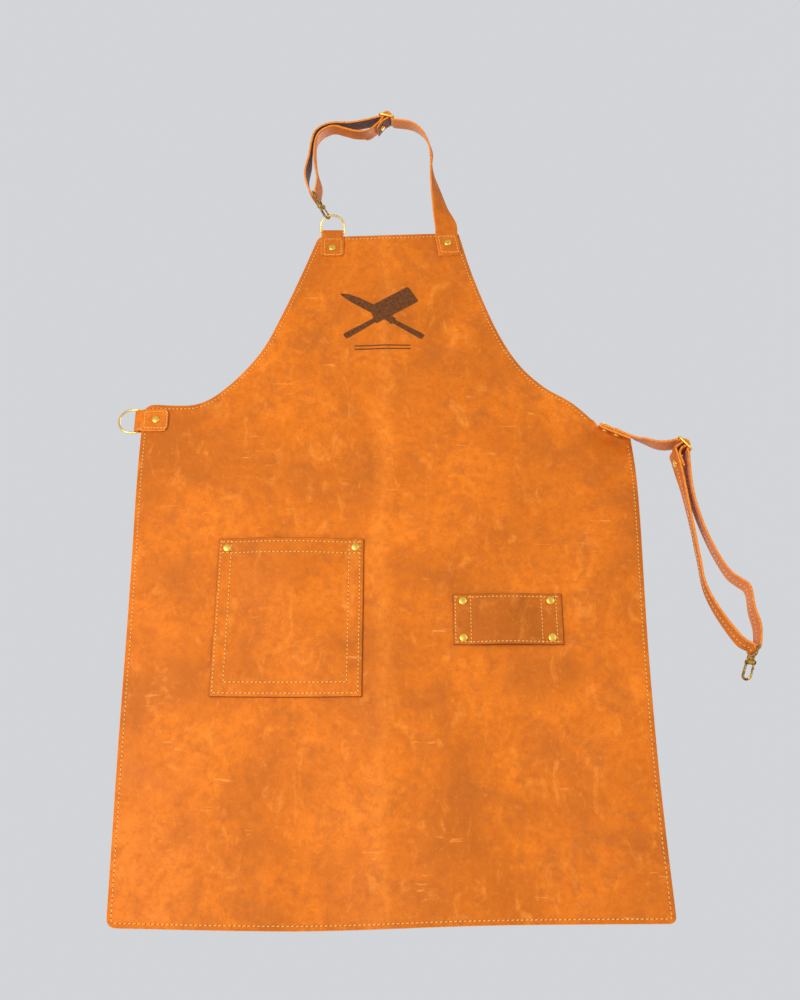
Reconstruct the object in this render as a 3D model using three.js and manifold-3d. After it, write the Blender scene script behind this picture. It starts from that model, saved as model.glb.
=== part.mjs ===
// Leather butcher apron: one cut panel with a bib, a patch pocket and a tool
// loop, a neck strap that clips to a D-ring, and a waist strap with a snap hook.
// Millimetres. +X is the viewer's right, -Y faces the viewer, +Z is up.
// Sizes are written from the hem and the middle of the bib, and the finished
// solids are moved so that the origin is the point the neck strap hangs from.
import * as THREE from "three";
import Module from "manifold-3d";
import { mergeVertices } from "three/addons/utils/BufferGeometryUtils.js";

const wasm = await Module();
wasm.setup();

// ---- driving dimensions ----
const HANG_POINT = [14, -15, 1050];
const GAP = 0.3;
const ROUND = 10;

const PANEL_THICK = 2.8;
const PATCH_THICK = 2.2;
const STRAP_THICK = 2.5;
const STRAP_WIDTH = 30;
const STATION_STEP = 9;

const POCKET_WIDTH = 172;
const POCKET_HEIGHT = 190;
const POCKET_LOW_LEFT = [-200, 244];
const POCKET_BULGE = 9;
const POCKET_RIVET_INSET = 10;
const POCKET_RIVET_DROPS = [12, 10.5];
const HOLDER_WIDTH = 126;
const HOLDER_HEIGHT = 61;
const HOLDER_LOW_LEFT = [77, 304];
const HOLDER_BULGE = 8;
const HOLDER_RIVET_INSETS = [11, 13];
const HOLDER_RIVET_DROP = 8.5;
const FLAT_MARGIN = 20;

const RIVET_CAP_RADIUS = 5;
const RIVET_CAP_HEIGHT = 1.8;
const RIVET_BACK_RADIUS = 4.2;
const RIVET_BACK_HEIGHT = 3;
const RIVET_BACK_WALL = 1.3;
const RIVET_POST_RADIUS = 1.5;
const RIVET_HOLE_RADIUS = 1.75;

const RING_WIRE = 1.35;
const RING_HALF_WIDTH = 15.95;
const RING_DEPTH = 23.8;
const RING_CORNER = 2;
const TAB_LENGTH = 42;
const TAB_WIDTH = 30.6;
const TAB_FOLD_WIDTH = 28.4;
const TAB_NECK = 6;
const BIB_RING_BAR = [-75.8, 876];
const BIB_RING_LEAN = 33;
const WAIST_RING_BAR = [-312.3, 592];

const SLIDE_WIRE = 1.5;
const SLIDE_CORNER = 2.5;
const SLIDE_HALF_LENGTH = 10;
const SLIDE_HALF_WIDTH = 17;

const HOOK_WIRE = 1.5;
const HOOK_HALF_WIDTH = 5;
const HOOK_LENGTH = 28;
const HOOK_EYE_HEIGHT = 11;
const EYE_CORNER = 2;
const HOOK_EYE_HALF_WIDTH = 17.4;

const LEATHER = { color: 0xd97b2e, roughness: 0.7, metalness: 0 };
const BRASS = { color: 0xc9a227, roughness: 0.3, metalness: 1 };

const group = new THREE.Group();
group.name = "butcher_apron";

// ---- shared helpers ----
const vec = (list) => new THREE.Vector3(...list);
const radians = THREE.MathUtils.degToRad;

// Moves a solid so that its own axes x, y, z lie along the given directions.
function place(geometry, origin, xAxis, yAxis, zAxis) {
  const basis = new THREE.Matrix4().makeBasis(xAxis, yAxis, zAxis);
  return geometry.applyMatrix4(basis.setPosition(...origin));
}

function welded(geometry) {
  geometry.deleteAttribute("normal");
  geometry.deleteAttribute("uv");
  return mergeVertices(geometry, 1e-4);
}

function toManifold(geometry) {
  const merged = welded(geometry.clone());
  return new wasm.Manifold(new wasm.Mesh({
    numProp: 3,
    vertProperties: new Float32Array(merged.attributes.position.array),
    triVerts: new Uint32Array(merged.index.array),
  }));
}

function toGeometry(manifold) {
  const mesh = manifold.getMesh();
  const geometry = new THREE.BufferGeometry();
  geometry.setAttribute("position", new THREE.BufferAttribute(mesh.vertProperties, 3));
  geometry.setIndex(new THREE.BufferAttribute(mesh.triVerts, 1));
  return geometry;
}

const cut = (base, tools) => toGeometry(tools.reduce(
  (whole, tool) => whole.subtract(toManifold(tool)), toManifold(base)));
const join = (parts) => toGeometry(parts.slice(1).reduce(
  (whole, part) => whole.add(toManifold(part)), toManifold(parts[0])));

function addNode(name, geometry, look) {
  const solid = geometry.index ? geometry : welded(geometry);
  solid.translate(-HANG_POINT[0], -HANG_POINT[1], -HANG_POINT[2]);
  solid.computeVertexNormals();
  const mesh = new THREE.Mesh(solid, new THREE.MeshStandardMaterial(look));
  mesh.name = name;
  group.add(mesh);
}

// A round bar from one point to another.
function rod(from, to, radius, sides = ROUND) {
  const start = vec(from);
  const along = vec(to).sub(start);
  const geometry = new THREE.CylinderGeometry(radius, radius, along.length(), sides);
  const turn = new THREE.Quaternion().setFromUnitVectors(
    new THREE.Vector3(0, 1, 0), along.clone().normalize());
  const middle = start.addScaledVector(along, 0.5);
  return geometry.applyQuaternion(turn).translate(middle.x, middle.y, middle.z);
}

// Skins rings of points into one solid; rings turn anticlockwise seen from the end.
function skin(rings, closed) {
  const count = rings[0].length;
  const positions = rings.flat().flatMap((point) => point.toArray());
  const faces = [];
  const spans = closed ? rings.length : rings.length - 1;
  for (let i = 0; i < spans; i++) {
    const next = (i + 1) % rings.length;
    for (let j = 0; j < count; j++) {
      const side = (j + 1) % count;
      const a = i * count + j;
      const b = i * count + side;
      const c = next * count + side;
      const d = next * count + j;
      faces.push(a, b, c, a, c, d);
    }
  }
  if (!closed) {
    const last = (rings.length - 1) * count;
    for (let j = 1; j < count - 1; j++) {
      faces.push(0, j + 1, j);
      faces.push(last, last + j, last + j + 1);
    }
  }
  const geometry = new THREE.BufferGeometry();
  geometry.setAttribute("position", new THREE.Float32BufferAttribute(positions, 3));
  geometry.setIndex(faces);
  return geometry;
}

// Round wire along points that lie in the local x-z plane.
function wire(points, radius, closed, sides = 8) {
  const rings = points.map(([x, z], i) => {
    const last = points.length - 1;
    const before = points[i > 0 ? i - 1 : closed ? last : 0];
    const after = points[i < last ? i + 1 : closed ? 0 : last];
    const along = new THREE.Vector2(after[0] - before[0], after[1] - before[1]).normalize();
    const ring = [];
    for (let j = 0; j < sides; j++) {
      const angle = (2 * Math.PI * j) / sides;
      const out = radius * Math.cos(angle);
      ring.push(new THREE.Vector3(x + along.y * out, radius * Math.sin(angle), z - along.x * out));
    }
    return ring;
  });
  return skin(rings, closed);
}

function arc(x, z, radius, fromDeg, toDeg, steps) {
  const points = [];
  for (let i = 0; i <= steps; i++) {
    const angle = radians(fromDeg + ((toDeg - fromDeg) * i) / steps);
    points.push([x + radius * Math.cos(angle), z + radius * Math.sin(angle)]);
  }
  return points;
}

// A rounded rectangle of wire, centred, half sizes given to the wire's middle.
function wireFrame(halfX, halfZ, corner, radius) {
  const x = halfX - corner;
  const z = halfZ - corner;
  return wire([
    ...arc(x, z, corner, 0, 90, 3),
    ...arc(-x, z, corner, 90, 180, 3),
    ...arc(-x, -z, corner, 180, 270, 3),
    ...arc(x, -z, corner, 270, 360, 3),
  ], radius, true);
}

// ---- leather sheets and straps ----

// A flat sheet cut from an outline in X and Z, its back at the given Y.
function flatSheet(outline, back, thick) {
  const geometry = new THREE.ExtrudeGeometry(outline, {
    depth: thick, bevelEnabled: false, curveSegments: 6,
  });
  return geometry.rotateX(Math.PI / 2).translate(0, back, 0);
}

// A patch that lies on the panel at its sides and stands off it by bulge(u, v).
function bowedPatch([x0, z0], width, height, bulge, columns, rows) {
  const rings = [];
  const back = -PANEL_THICK - GAP;
  const heights = Array.from({ length: rows + 1 }, (_, j) => j / rows);
  for (let i = 0; i <= columns; i++) {
    const u = 1 - i / columns;
    const point = (v, lift) =>
      new THREE.Vector3(x0 + width * u, back - lift - bulge(u, v), z0 + height * v);
    const front = heights.map((v) => point(v, PATCH_THICK));
    const rear = heights.map((v) => point(v, 0)).reverse();
    rings.push([...front, ...rear]);
  }
  return patchSkin(rings, rows);
}

// Closes a patch built from rings: the two ends are strips between front and rear.
function patchSkin(rings, rows) {
  const body = skin(rings, true);
  const index = Array.from(body.index.array);
  const count = rings[0].length;
  const perSpan = count * 6;
  const faces = index.slice(0, perSpan * (rings.length - 1));
  const last = (rings.length - 1) * count;
  for (let j = 0; j < rows; j++) {
    const opposite = count - 1 - j;
    faces.push(j, opposite, opposite - 1, j, opposite - 1, j + 1);
    faces.push(last + j, last + opposite - 1, last + opposite);
    faces.push(last + j, last + j + 1, last + opposite - 1);
  }
  body.setIndex(faces);
  return body;
}

// 0 in the flat margin at each side, 1 in the middle.
function sideRise(u, width) {
  const margin = FLAT_MARGIN / width;
  const inside = THREE.MathUtils.clamp((u - margin) / (1 - 2 * margin), 0, 1);
  return Math.sin(Math.PI * inside);
}

// A strap swept through controls of [centre, width direction].
function strap(controls) {
  const centres = controls.map(([centre]) => vec(centre));
  const widths = controls.map(([, width]) => vec(width).normalize());
  const curve = new THREE.CatmullRomCurve3(centres, false, "centripetal");
  const spans = centres.length - 1;
  const stations = [];
  for (let i = 0; i < spans; i++) {
    const steps = Math.max(1, Math.round(centres[i].distanceTo(centres[i + 1]) / STATION_STEP));
    for (let j = 0; j < steps; j++) {
      stations.push([(i + j / steps) / spans, widths[i].clone().lerp(widths[i + 1], j / steps)]);
    }
  }
  stations.push([1, widths[spans]]);
  const points = stations.map(([t]) => curve.getPoint(t));
  const rings = stations.map(([, across], i) => {
    const before = points[Math.max(i - 1, 0)];
    const after = points[Math.min(i + 1, points.length - 1)];
    const along = after.clone().sub(before).normalize();
    const width = across.clone().addScaledVector(along, -across.dot(along)).normalize();
    const out = new THREE.Vector3().crossVectors(along, width);
    const corner = (side, face) => points[i].clone()
      .addScaledVector(width, (side * STRAP_WIDTH) / 2)
      .addScaledVector(out, (face * STRAP_THICK) / 2);
    return [corner(-1, -1), corner(1, -1), corner(1, 1), corner(-1, 1)];
  });
  return skin(rings, false);
}

// The direction across a strap that stands on edge, its far side leaning outwards.
function onEdge(outwardDeg, leanDeg) {
  const lean = radians(leanDeg);
  const outward = radians(outwardDeg);
  return [
    Math.sin(lean) * Math.cos(outward),
    Math.cos(lean),
    Math.sin(lean) * Math.sin(outward),
  ];
}

// A strap control given by the near edge of the strap instead of its middle.
function fromNearEdge([x, z], width) {
  const half = STRAP_WIDTH / 2;
  return [[x + half * width[0], -STRAP_WIDTH + half * width[1], z + half * width[2]], width];
}

// ---- rivets ----

// A domed cap with its post, and the smaller cap it is set into at the back.
// "out" points from the leather to the front cap; grip is the leather between.
const DOME_STEPS = 4;
const postEnd = -RIVET_BACK_HEIGHT + RIVET_BACK_WALL + GAP + 0.1;
const socketEnd = -RIVET_BACK_HEIGHT + RIVET_BACK_WALL;

const dome = Array.from({ length: DOME_STEPS + 1 }, (_, i) => {
  const angle = (Math.PI * i) / (2 * DOME_STEPS);
  return [RIVET_CAP_RADIUS * Math.sin(angle), RIVET_CAP_HEIGHT * Math.cos(angle)];
});
dome[DOME_STEPS] = [RIVET_CAP_RADIUS, 0];

const capProfile = (grip) => [...dome, [RIVET_POST_RADIUS, 0],
  [RIVET_POST_RADIUS, postEnd - grip], [0, postEnd - grip]].reverse();

const backProfile = (grip) => [
  [0, -RIVET_BACK_HEIGHT],
  [RIVET_BACK_RADIUS - 0.6, -RIVET_BACK_HEIGHT + 0.4],
  [RIVET_BACK_RADIUS, -RIVET_BACK_HEIGHT / 2],
  [RIVET_BACK_RADIUS, -GAP],
  [RIVET_HOLE_RADIUS, -GAP],
  [RIVET_HOLE_RADIUS, socketEnd],
  [0, socketEnd],
].map(([r, h]) => [r, h - grip]);

function rivet(name, front, out, grip) {
  const up = vec(out).normalize();
  const turn = new THREE.Quaternion().setFromUnitVectors(new THREE.Vector3(0, 1, 0), up);
  const caps = [[`${name}_cap`, capProfile(grip), GAP], [`${name}_back`, backProfile(grip), 0]];
  for (const [node, profile, lift] of caps) {
    const points = profile.map(([r, h]) => new THREE.Vector2(r, h));
    const solid = new THREE.LatheGeometry(points, ROUND).applyQuaternion(turn);
    const at = vec(front).addScaledVector(up, lift);
    addNode(node, solid.translate(at.x, at.y, at.z), BRASS);
  }
}

const HOLE_OVERRUN = 4;
const rivetHole = (front, out, depth) => {
  const start = vec(front).addScaledVector(vec(out).normalize(), HOLE_OVERRUN);
  const end = vec(front).addScaledVector(vec(out).normalize(), -depth - HOLE_OVERRUN);
  return rod(start.toArray(), end.toArray(), RIVET_HOLE_RADIUS);
};

// ---- apron panel ----
const CORNER_FOLD = { from: [263, 585], to: [301, 568] };

function panelOutline() {
  const points = (list) => list.map(([x, z]) => new THREE.Vector2(x, z));
  const outline = new THREE.Shape();
  outline.moveTo(-88, 869.5);
  outline.lineTo(90, 876);
  outline.quadraticCurveTo(94, 876, 95, 871);
  outline.splineThru(points([[112, 805], [138, 730], [165, 677], [196, 642], [232, 617],
    CORNER_FOLD.from]));
  outline.lineTo(...CORNER_FOLD.to);
  outline.splineThru(points([[304, 500], [300, 320], [299, 160], [303, 30]]));
  outline.quadraticCurveTo(303, 6, 285, 5.6);
  outline.splineThru(points([[120, 4.4], [-90, -1.4], [-280, 1.4]]));
  outline.quadraticCurveTo(-291.5, 1.8, -291.8, 12);
  outline.splineThru(points([[-297, 180], [-301, 340], [-306.5, 520], [-306.8, 598]]));
  outline.quadraticCurveTo(-307, 614, -294, 615);
  outline.splineThru(points([[-240, 616], [-201, 643], [-163, 692], [-138, 749], [-117, 805],
    [-97, 863]]));
  outline.quadraticCurveTo(-95, 869, -88, 869.5);
  return outline;
}

const foldAlong = vec([CORNER_FOLD.to[0] - CORNER_FOLD.from[0], 0,
  CORNER_FOLD.to[1] - CORNER_FOLD.from[1]]);
const foldLength = foldAlong.length();
foldAlong.normalize();
const FRONTWARD = new THREE.Vector3(0, -1, 0);
// The top right corner is bent forward and droops, and the waist strap lies on top of it.
const FOLD_DROOP = radians(25);
const cornerUp = new THREE.Vector3().crossVectors(foldAlong, FRONTWARD).negate();
const foldForward = FRONTWARD.clone().multiplyScalar(Math.cos(FOLD_DROOP))
  .addScaledVector(cornerUp, -Math.sin(FOLD_DROOP));
const foldAcross = foldForward.clone().negate();
const foldUp = new THREE.Vector3().crossVectors(foldAlong, foldAcross);
const foldMiddle = vec([(CORNER_FOLD.from[0] + CORNER_FOLD.to[0]) / 2, -PANEL_THICK,
  (CORNER_FOLD.from[1] + CORNER_FOLD.to[1]) / 2]).addScaledVector(foldForward, STRAP_WIDTH / 2);

function cornerFlange() {
  const flange = new THREE.BoxGeometry(foldLength - 1, STRAP_WIDTH, PANEL_THICK);
  const middle = foldMiddle.clone().addScaledVector(foldUp, -PANEL_THICK / 2);
  return place(flange, middle.toArray(), foldAlong, foldAcross, foldUp);
}

const foldPoint = (along, up) => foldMiddle.clone()
  .addScaledVector(foldAlong, along).addScaledVector(foldUp, up);
const FOLD_RIVETS = [-12, 3];
const foldRivetSeats = FOLD_RIVETS.map((along) => foldPoint(along, GAP + STRAP_THICK).toArray());
const FOLD_GRIP = STRAP_THICK + GAP + PANEL_THICK;

// ---- folded tabs that hold the rings ----
const tabSpread = STRAP_THICK / 2 + GAP + RING_WIRE + 0.1;
const tabMiddleY = -PANEL_THICK / 2;

// Local x runs across the tab, z from its free end to the ring's bar at 0.
function foldedTab() {
  const rings = [];
  const reach = TAB_LENGTH - tabSpread - STRAP_THICK / 2;
  const path = [[tabSpread, -reach], [tabSpread, -TAB_NECK], ...arc(0, 0, tabSpread, 0, 180, 8),
    [-tabSpread, -TAB_NECK], [-tabSpread, -reach]];
  path.forEach(([y, z], i) => {
    const before = path[Math.max(i - 1, 0)];
    const after = path[Math.min(i + 1, path.length - 1)];
    const along = new THREE.Vector2(after[0] - before[0], after[1] - before[1]).normalize();
    const half = (z <= -TAB_NECK ? TAB_WIDTH : TAB_FOLD_WIDTH) / 2;
    const corner = (side, face) => new THREE.Vector3(side * half,
      y + (face * along.y * STRAP_THICK) / 2, z - (face * along.x * STRAP_THICK) / 2);
    rings.push([corner(-1, -1), corner(1, -1), corner(1, 1), corner(-1, 1)]);
  });
  return skin(rings, false);
}

// A D-ring: the bar lies along local x at 0 and the bow rises in +z.
function dRing() {
  const rise = RING_DEPTH - RING_HALF_WIDTH;
  const side = RING_HALF_WIDTH - RING_CORNER;
  return wire([
    ...arc(0, rise, RING_HALF_WIDTH, 0, 180, 14),
    ...arc(-side, RING_CORNER, RING_CORNER, 180, 270, 2),
    ...arc(side, RING_CORNER, RING_CORNER, 270, 360, 2),
  ], RING_WIRE, true);
}

const X = new THREE.Vector3(1, 0, 0);
const Y = new THREE.Vector3(0, 1, 0);
const Z = new THREE.Vector3(0, 0, 1);

// ---- strap adjusters ----

// Where a strap runs through a slide: [along the slide, off its face].
const wrapRadius = SLIDE_WIRE + GAP + STRAP_THICK / 2;
const overRadius = wrapRadius + STRAP_THICK + GAP;
const crossing = (Math.acos((overRadius + wrapRadius) / SLIDE_HALF_LENGTH) * 180) / Math.PI;
const passingPath = [
  ...arc(SLIDE_HALF_LENGTH, 0, wrapRadius, -90, -180 + crossing, 4),
  ...arc(0, 0, overRadius, crossing, 180 - crossing, 8),
  ...arc(-SLIDE_HALF_LENGTH, 0, wrapRadius, -crossing, -90, 4),
];
// The strap comes back up to the slide's bar, goes over it and down beside itself.
const LEG_ANGLE = 153.3;
const wrapPath = arc(0, 0, wrapRadius, LEG_ANGLE, LEG_ANGLE - 180, 8);
const tailOffset = STRAP_THICK + GAP + 0.1;
const foldGrip = tailOffset + STRAP_THICK;
const foldHoleDepth = STRAP_THICK + GAP;

function slideHardware(centre, along, width, out) {
  const frame = wireFrame(SLIDE_HALF_LENGTH, SLIDE_HALF_WIDTH, SLIDE_CORNER, SLIDE_WIRE);
  const bar = rod([0, 0, -SLIDE_HALF_WIDTH], [0, 0, SLIDE_HALF_WIDTH], SLIDE_WIRE, 8);
  return place(join([frame, bar]), centre, along, out.clone().negate(), width);
}

// Turns slide coordinates into strap controls.
function throughSlide(path, slide) {
  return path.map(([u, v]) => [
    vec(slide.centre).addScaledVector(slide.along, u).addScaledVector(slide.out, v).toArray(),
    slide.width.toArray(),
  ]);
}

function slideFrame(centre, turnDeg, leanDeg) {
  const turn = radians(turnDeg);
  const along = new THREE.Vector3(Math.cos(turn), 0, Math.sin(turn));
  const width = vec(onEdge(turnDeg + 90, leanDeg));
  const out = new THREE.Vector3().crossVectors(width, along).normalize();
  return { centre, along, width, out: out.z < 0 ? out.negate() : out };
}

const neckSlide = slideFrame([-2.5, -15.9, 1058], -14, 20);
const waistSlide = slideFrame([359.9, -15, 548.1], -51, 0);

// ---- snap hooks ----

// Local z runs up the hook to the eye, x from the fixed limb to the gate.
const SHOULDER_TOP = -3;
const SHOULDER_LOW = -8;
const GATE_PIVOT = [4.6, -5.8];
const TIP_HEIGHT = -17.6;
const STEM_RADIUS = 1.5;
const STEM_BORE = 1.6;
const STEM_SIDES = 16;
const BARREL_RADIUS = 3.5;
const BARREL_HALF_HEIGHT = 2.5;
const HEAD_RADIUS = 2.6;
const HEAD_THICK = 1.4;
const SHOULDER_DEPTH = 5;
const GATE_SLOT = { from: 2, width: 2.6, below: 1.8 };
const GATE_THICK = 2;
const KNUCKLE_RADIUS = 1.6;
const PIN_RADIUS = 0.84;
const PIN_LENGTH = 4.8;
const PIN_BORE = 0.92;
const headLow = BARREL_HALF_HEIGHT + GAP;

function hookEye() {
  const half = HOOK_EYE_HEIGHT / 2;
  const frame = wireFrame(half, HOOK_EYE_HALF_WIDTH, EYE_CORNER, HOOK_WIRE).rotateY(Math.PI / 2);
  frame.rotateZ(Math.PI / 2).translate(0, 0, half);
  const barrel = rod([0, 0, -BARREL_HALF_HEIGHT], [0, 0, BARREL_HALF_HEIGHT], BARREL_RADIUS,
    STEM_SIDES);
  const bore = rod([0, 0, -headLow], [0, 0, headLow], STEM_BORE, STEM_SIDES);
  return cut(join([frame, barrel]), [bore]);
}

const gatePin = (radius, length, x, z) => rod([x, -length / 2, z], [x, length / 2, z], radius);

function hookBody() {
  const bend = -HOOK_LENGTH + HOOK_WIRE + HOOK_HALF_WIDTH;
  const limb = wire([[-HOOK_HALF_WIDTH, SHOULDER_LOW + 1],
    ...arc(0, bend, HOOK_HALF_WIDTH, 180, 360, 8), [HOOK_HALF_WIDTH, TIP_HEIGHT]],
  HOOK_WIRE, false);
  const height = SHOULDER_TOP - SHOULDER_LOW;
  const shoulder = new THREE.BoxGeometry(2 * (HOOK_HALF_WIDTH + HOOK_WIRE), SHOULDER_DEPTH, height);
  shoulder.translate(0, 0, (SHOULDER_TOP + SHOULDER_LOW) / 2);
  const stem = rod([0, 0, SHOULDER_TOP - 1], [0, 0, headLow + 1], STEM_RADIUS, STEM_SIDES);
  const head = rod([0, 0, headLow], [0, 0, headLow + HEAD_THICK], HEAD_RADIUS, STEM_SIDES);
  const [x, z] = GATE_PIVOT;
  const slotTop = z + KNUCKLE_RADIUS + GAP;
  const slotHeight = slotTop - SHOULDER_LOW + GATE_SLOT.below;
  const slotLength = HOOK_HALF_WIDTH + 2 * HOOK_WIRE - GATE_SLOT.from;
  const slot = new THREE.BoxGeometry(slotLength, GATE_SLOT.width, slotHeight);
  slot.translate(GATE_SLOT.from + slotLength / 2, 0, slotTop - slotHeight / 2);
  return cut(join([shoulder, stem, head, limb]), [slot, gatePin(PIN_BORE, 2 * SHOULDER_DEPTH, x, z)]);
}

function hookGate() {
  const [x, z] = GATE_PIVOT;
  const length = z - TIP_HEIGHT - GAP;
  const lever = new THREE.BoxGeometry(GATE_THICK, GATE_THICK, length);
  lever.translate(x, 0, z - length / 2);
  const knuckle = gatePin(KNUCKLE_RADIUS, GATE_THICK, x, z);
  return cut(join([lever, knuckle]), [gatePin(PIN_BORE, 2 * GATE_THICK, x, z)]);
}

function addHook(name, origin, up, gateSide) {
  const zAxis = up.clone().normalize();
  const xAxis = gateSide.clone().addScaledVector(zAxis, -gateSide.dot(zAxis)).normalize();
  const yAxis = new THREE.Vector3().crossVectors(zAxis, xAxis);
  const [x, z] = GATE_PIVOT;
  const parts = [["hook", hookBody()], ["gate", hookGate()],
    ["gate_pin", gatePin(PIN_RADIUS, PIN_LENGTH, x, z)]];
  for (const [part, solid] of parts) {
    addNode(`${name}_${part}`, place(solid, origin, xAxis, yAxis, zAxis), BRASS);
  }
}

function addEye(name, origin, up, width) {
  const zAxis = up.clone().normalize();
  const yAxis = width.clone().addScaledVector(zAxis, -width.dot(zAxis)).normalize();
  const xAxis = new THREE.Vector3().crossVectors(yAxis, zAxis);
  addNode(`${name}_eye`, place(hookEye(), origin, xAxis, yAxis, zAxis), BRASS);
}

// The strap's turn round a hook's eye, from one side of the bar to the other.
function roundEye(bar, up, width, first, last) {
  const side = new THREE.Vector3().crossVectors(width, up).normalize();
  return arc(0, 0, wrapRadius, first, last, 6).map(([s, h]) => [
    vec(bar).addScaledVector(side, s).addScaledVector(up, h).toArray(),
    width.toArray(),
  ]);
}

// ================= the pieces =================

// Panel
const [pocketLeft, pocketLow] = POCKET_LOW_LEFT;
const pocketRivets = [
  [pocketLeft + POCKET_RIVET_INSET, pocketLow + POCKET_HEIGHT - POCKET_RIVET_DROPS[0]],
  [pocketLeft + POCKET_WIDTH - POCKET_RIVET_INSET,
    pocketLow + POCKET_HEIGHT - POCKET_RIVET_DROPS[1]],
];
const [holderLeft, holderLow] = HOLDER_LOW_LEFT;
const holderRivetX = [holderLeft + HOLDER_RIVET_INSETS[0],
  holderLeft + HOLDER_WIDTH - HOLDER_RIVET_INSETS[1]];
const holderRivetZ = [holderLow + HOLDER_HEIGHT - HOLDER_RIVET_DROP, holderLow + HOLDER_RIVET_DROP];
const holderRivets = holderRivetX.flatMap((x) => holderRivetZ.map((z) => [x, z]));
const bibTabRivet = [-75.8, 850];
const waistTabRivet = [-289.5, 592.5];
const neckEndRivet = [79, 858];
const patchFace = -PANEL_THICK - GAP - PATCH_THICK;
const strapEndFace = -PANEL_THICK - GAP - STRAP_THICK;
const tabFace = tabMiddleY - tabSpread - STRAP_THICK / 2;
const frontOf = ([x, z], y) => [x, y, z];
const FRONT = [0, -1, 0];

const panelHoles = [...pocketRivets, ...holderRivets, bibTabRivet, waistTabRivet, neckEndRivet]
  .map((at) => rivetHole(frontOf(at, 0), FRONT, PANEL_THICK));
const flangeHoles = foldRivetSeats.map((at) => rivetHole(at, foldUp.toArray(), FOLD_GRIP));
addNode("apron_panel", cut(join([flatSheet(panelOutline(), 0, PANEL_THICK), cornerFlange()]),
  [...panelHoles, ...flangeHoles]), LEATHER);

// Patch pocket, open at the top
const pocketShape = bowedPatch(POCKET_LOW_LEFT, POCKET_WIDTH, POCKET_HEIGHT,
  (u, v) => POCKET_BULGE * sideRise(u, POCKET_WIDTH) * Math.min(1, 1.6 * v), 12, 6);
addNode("patch_pocket", cut(pocketShape,
  pocketRivets.map((at) => rivetHole(frontOf(at, patchFace), FRONT, PATCH_THICK))), LEATHER);
pocketRivets.forEach((at, i) => rivet(`pocket_rivet_${i + 1}`, frontOf(at, patchFace), FRONT,
  PATCH_THICK + GAP + PANEL_THICK));

// Tool loop, open at top and bottom
const holderShape = bowedPatch(HOLDER_LOW_LEFT, HOLDER_WIDTH, HOLDER_HEIGHT,
  (u) => HOLDER_BULGE * sideRise(u, HOLDER_WIDTH), 12, 1);
addNode("tool_loop", cut(holderShape,
  holderRivets.map((at) => rivetHole(frontOf(at, patchFace), FRONT, PATCH_THICK))), LEATHER);
holderRivets.forEach((at, i) => rivet(`tool_loop_rivet_${i + 1}`, frontOf(at, patchFace), FRONT,
  PATCH_THICK + GAP + PANEL_THICK));

// Ring tabs and D-rings
const tabGrip = 2 * tabSpread + STRAP_THICK;
const bibBar = frontOf(BIB_RING_BAR, tabMiddleY);
const waistBar = frontOf(WAIST_RING_BAR, tabMiddleY);
addNode("bib_ring_tab", cut(place(foldedTab(), bibBar, X, Y, Z),
  [rivetHole(frontOf(bibTabRivet, tabFace), FRONT, tabGrip)]), LEATHER);
rivet("bib_tab_rivet", frontOf(bibTabRivet, tabFace), FRONT, tabGrip);
const bibLean = radians(BIB_RING_LEAN);
const bowUp = new THREE.Vector3(0, -Math.sin(bibLean), Math.cos(bibLean));
addNode("bib_d_ring", place(dRing(), bibBar, X, new THREE.Vector3().crossVectors(bowUp, X), bowUp),
  BRASS);

addNode("waist_ring_tab", cut(place(foldedTab(), waistBar, Z, Y, X.clone().negate()),
  [rivetHole(frontOf(waistTabRivet, tabFace), FRONT, tabGrip)]), LEATHER);
rivet("waist_tab_rivet", frontOf(waistTabRivet, tabFace), FRONT, tabGrip);
addNode("waist_d_ring", place(dRing(), waistBar, Z, Y, X.clone().negate()), BRASS);

// Neck strap: sewn end on the bib, then the twist, the adjuster, the hook and back
const FLAT = [1, 0, 0];
const endMiddleY = strapEndFace + STRAP_THICK / 2;
addNode("neck_strap_end", cut(strap([
  [[81.6, endMiddleY, 839], FLAT],
  [[79.2, endMiddleY, 857], FLAT],
  [[77.5, endMiddleY, 868], FLAT],
  [[77.4, endMiddleY, 874.8], FLAT],
]), [rivetHole(frontOf(neckEndRivet, strapEndFace), FRONT, STRAP_THICK)]), LEATHER);
rivet("neck_end_rivet", frontOf(neckEndRivet, strapEndFace), FRONT,
  STRAP_THICK + GAP + PANEL_THICK);

const neckHookUp = vec([-0.467, -0.048, 0.883]).normalize();
const neckEyeWidth = vec([0.2, 0.967, 0.16]).normalize();
const neckEyeBar = vec([-99, -15, 925]);
const neckHookOrigin = neckEyeBar.clone().addScaledVector(neckHookUp, -HOOK_EYE_HEIGHT);

const upperRun = onEdge(90, 20);
const neckWrap = throughSlide(wrapPath, neckSlide);

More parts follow.
